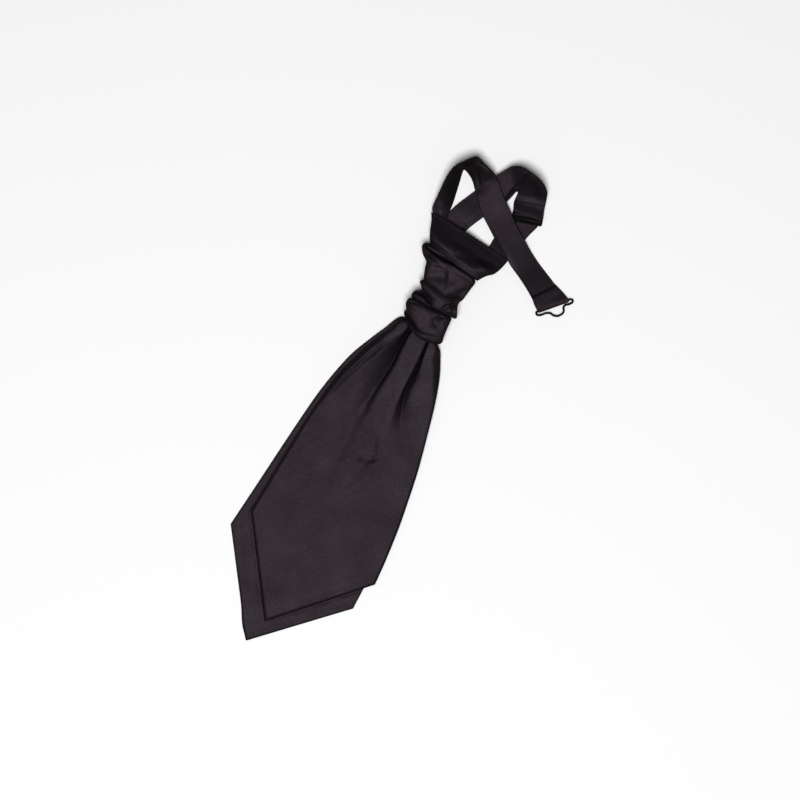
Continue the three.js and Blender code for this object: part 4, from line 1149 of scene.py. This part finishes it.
hookStrapPiece = makeStrap("hookStrap", hookStrap, hookStrap["stations"], strapSatin)
eyeStrapPiece = makeStrap("eyeStrap", eyeStrap, eyeStrap["stations"], strapSatin)
adjusterPiece = makeStrap("adjusterStrap", adjuster, adjusterStations(), strapSatin)
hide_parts("hook_strap")
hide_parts("eye_strap")
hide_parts("adjuster_strap")
print("straps made")

# Hook and eye: round wire bent through these points, its ends meeting inside the hem
hookBends = [
    [96.3, 76.2], [91.6, 70.1], [87.4, 64.6], [86.2, 61.6], [88.4, 60], [91.6, 62], [94.8, 66.6],
    [98.6, 69], [102.8, 68.6], [106.8, 70.6], [109.2, 75], [108.8, 78.4], [106.4, 80.6], [106.6, 83.8],
    [109.4, 86.4], [111.6, 89.8], [110.5, 92.2], [107.6, 91.3], [105.4, 88.1], [101.6, 83.1],
]
eyeBends = [
    [-31.3, 82], [-17.4, 82], [-16.3, 80.9], [-16.3, 75], [-17.6, 73.3], [-24, 73], [-39.4, 73],
    [-45.8, 73.3], [-47.1, 75], [-47.1, 80.9], [-46, 82],
]


# A closed path through corners, its bends rounded by a blur of the given length
def roundedLoop(corners, count, blur):
    corners = np.array(corners, float)
    loop = np.vstack([corners, corners[:1]])
    run = np.concatenate([[0], np.cumsum(np.hypot(*np.diff(loop, axis=0).T))])
    places = np.linspace(0, run[-1], count, endpoint=False)
    path = np.interp(places, run, loop[:, 0]) + 1j * np.interp(places, run, loop[:, 1])
    waves = 2 * np.pi * np.fft.fftfreq(count, run[-1] / count)
    path = np.fft.ifft(np.fft.fft(path) * np.exp(-((waves * blur) ** 2) / 2))
    return np.stack([path.real, path.imag], axis=1)


# Wire swept along a closed path: a circle across the path at each of its points
def makeWire(name, bends, along, blur):
    path = roundedLoop(bends, along, blur)
    step = np.roll(path, -1, axis=0) - np.roll(path, 1, axis=0)
    side = np.stack([step[:, 1], -step[:, 0]], axis=1) / np.hypot(*step.T)[:, None]
    angle = 2 * np.pi * np.arange(wire["around"]) / wire["around"]
    flat = path[:, None] + side[:, None] * (np.cos(angle) * wire["thick"] / 2)[None, :, None]
    level = wire["level"] + np.sin(angle) * wire["thick"] / 2
    grid = np.dstack([flat, np.broadcast_to(level, flat.shape[:2])])
    return closedRing(name, grid, blackWire)


hookPiece = makeWire("wireHook", hookBends, along=520, blur=0.75)
eyePiece = makeWire("strapEye", eyeBends, along=420, blur=0.55)
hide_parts("wire_hook")
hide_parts("strap_eye")

slider = {
    "merge": 0.001,
    "flat": 0.01,  # radians between neighbours that are one face
    "round": 0.45,
    "segments": 3,
    "sharp": math.radians(50),  # edges over this are rounded
    "crisp": math.radians(40),  # and then those over this are shaded as edges
}


# Three-bar slide: the solid's own plate and slots, its faces merged and its edges rounded
def makeSlider():
    mesh = bpy.data.objects["strap_slider"].data.copy()
    mesh.name = "sliderPlate"
    work = bmesh.new()
    work.from_mesh(mesh)
    bmesh.ops.remove_doubles(work, verts=work.verts, dist=slider["merge"] * mm)
    bmesh.ops.dissolve_limit(work, angle_limit=slider["flat"], verts=work.verts, edges=work.edges)
    sharp = [e for e in work.edges if e.is_manifold and e.calc_face_angle() > slider["sharp"]]
    rounding = {"offset": slider["round"] * mm, "segments": slider["segments"]}
    bmesh.ops.bevel(work, geom=sharp, profile=0.5, affect="EDGES", **rounding)
    bmesh.ops.triangulate(work, faces=[f for f in work.faces if len(f.verts) > 4])
    work.to_mesh(mesh)
    work.free()
    mesh.shade_smooth()
    mesh.set_sharp_from_angle(angle=slider["crisp"])
    mesh.materials.clear()
    mesh.materials.append(blackPlastic)
    made = addObject("sliderPlate", mesh)
    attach(made, "root")
    return made


sliderPiece = makeSlider()
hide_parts("strap_slider")
print("hook, eye and slider made")

# Floor and light
light = {
    "world": 0.15,
    "key": {"place": (0.35, -0.92, 3.8), "size": 1.8, "power": 140.0, "aim": (0, -0.05, 0)},
    "floor": {"reach": 4.0, "level": -0.0003, "color": (0.96, 0.96, 0.96), "rough": 0.9, "specular": 0.1},
}


# One square of pale paper, just under the part
def makeStage():
    paper = light["floor"]
    reach, z = paper["reach"], paper["level"]
    corners = [(-reach, -reach, z), (reach, -reach, z), (reach, reach, z), (-reach, reach, z)]
    mesh = bpy.data.meshes.new("floor")
    mesh.from_pydata(corners, [], [(0, 1, 2, 3)])
    floor = addObject("floor", mesh)
    material, tree, shader = newMaterial("floorPaper")
    look = {"Base Color": (*paper["color"], 1), "Roughness": paper["rough"]}
    feed(tree, shader, {**look, "Specular IOR Level": paper["specular"]})
    mesh.materials.append(material)


# A round area light at its place, turned to face its aim
def makeArea(name, place, size, power, aim):
    data = bpy.data.lights.new(name, "AREA")
    data.shape = "DISK"
    data.size = size
    data.energy = power
    made = addObject(name, data)
    made.location = place
    direction = np.array(aim, float) - np.array(place, float)
    direction /= np.linalg.norm(direction)
    bearing = math.atan2(direction[1], direction[0])
    made.rotation_euler = (math.acos(-direction[2]), 0, bearing - math.pi / 2)


# Even light from all round, and one large lamp high above the tails
def makeLight():
    world = bpy.data.worlds.new("studio")
    world.use_nodes = True
    look = {"Color": (1, 1, 1, 1), "Strength": light["world"]}
    feed(world.node_tree, world.node_tree.nodes["Background"], look)
    bpy.context.scene.world = world
    makeArea("key", **light["key"])
    bpy.context.scene.view_settings.view_transform = "Standard"


makeStage()
makeLight()
print("stage and light made")
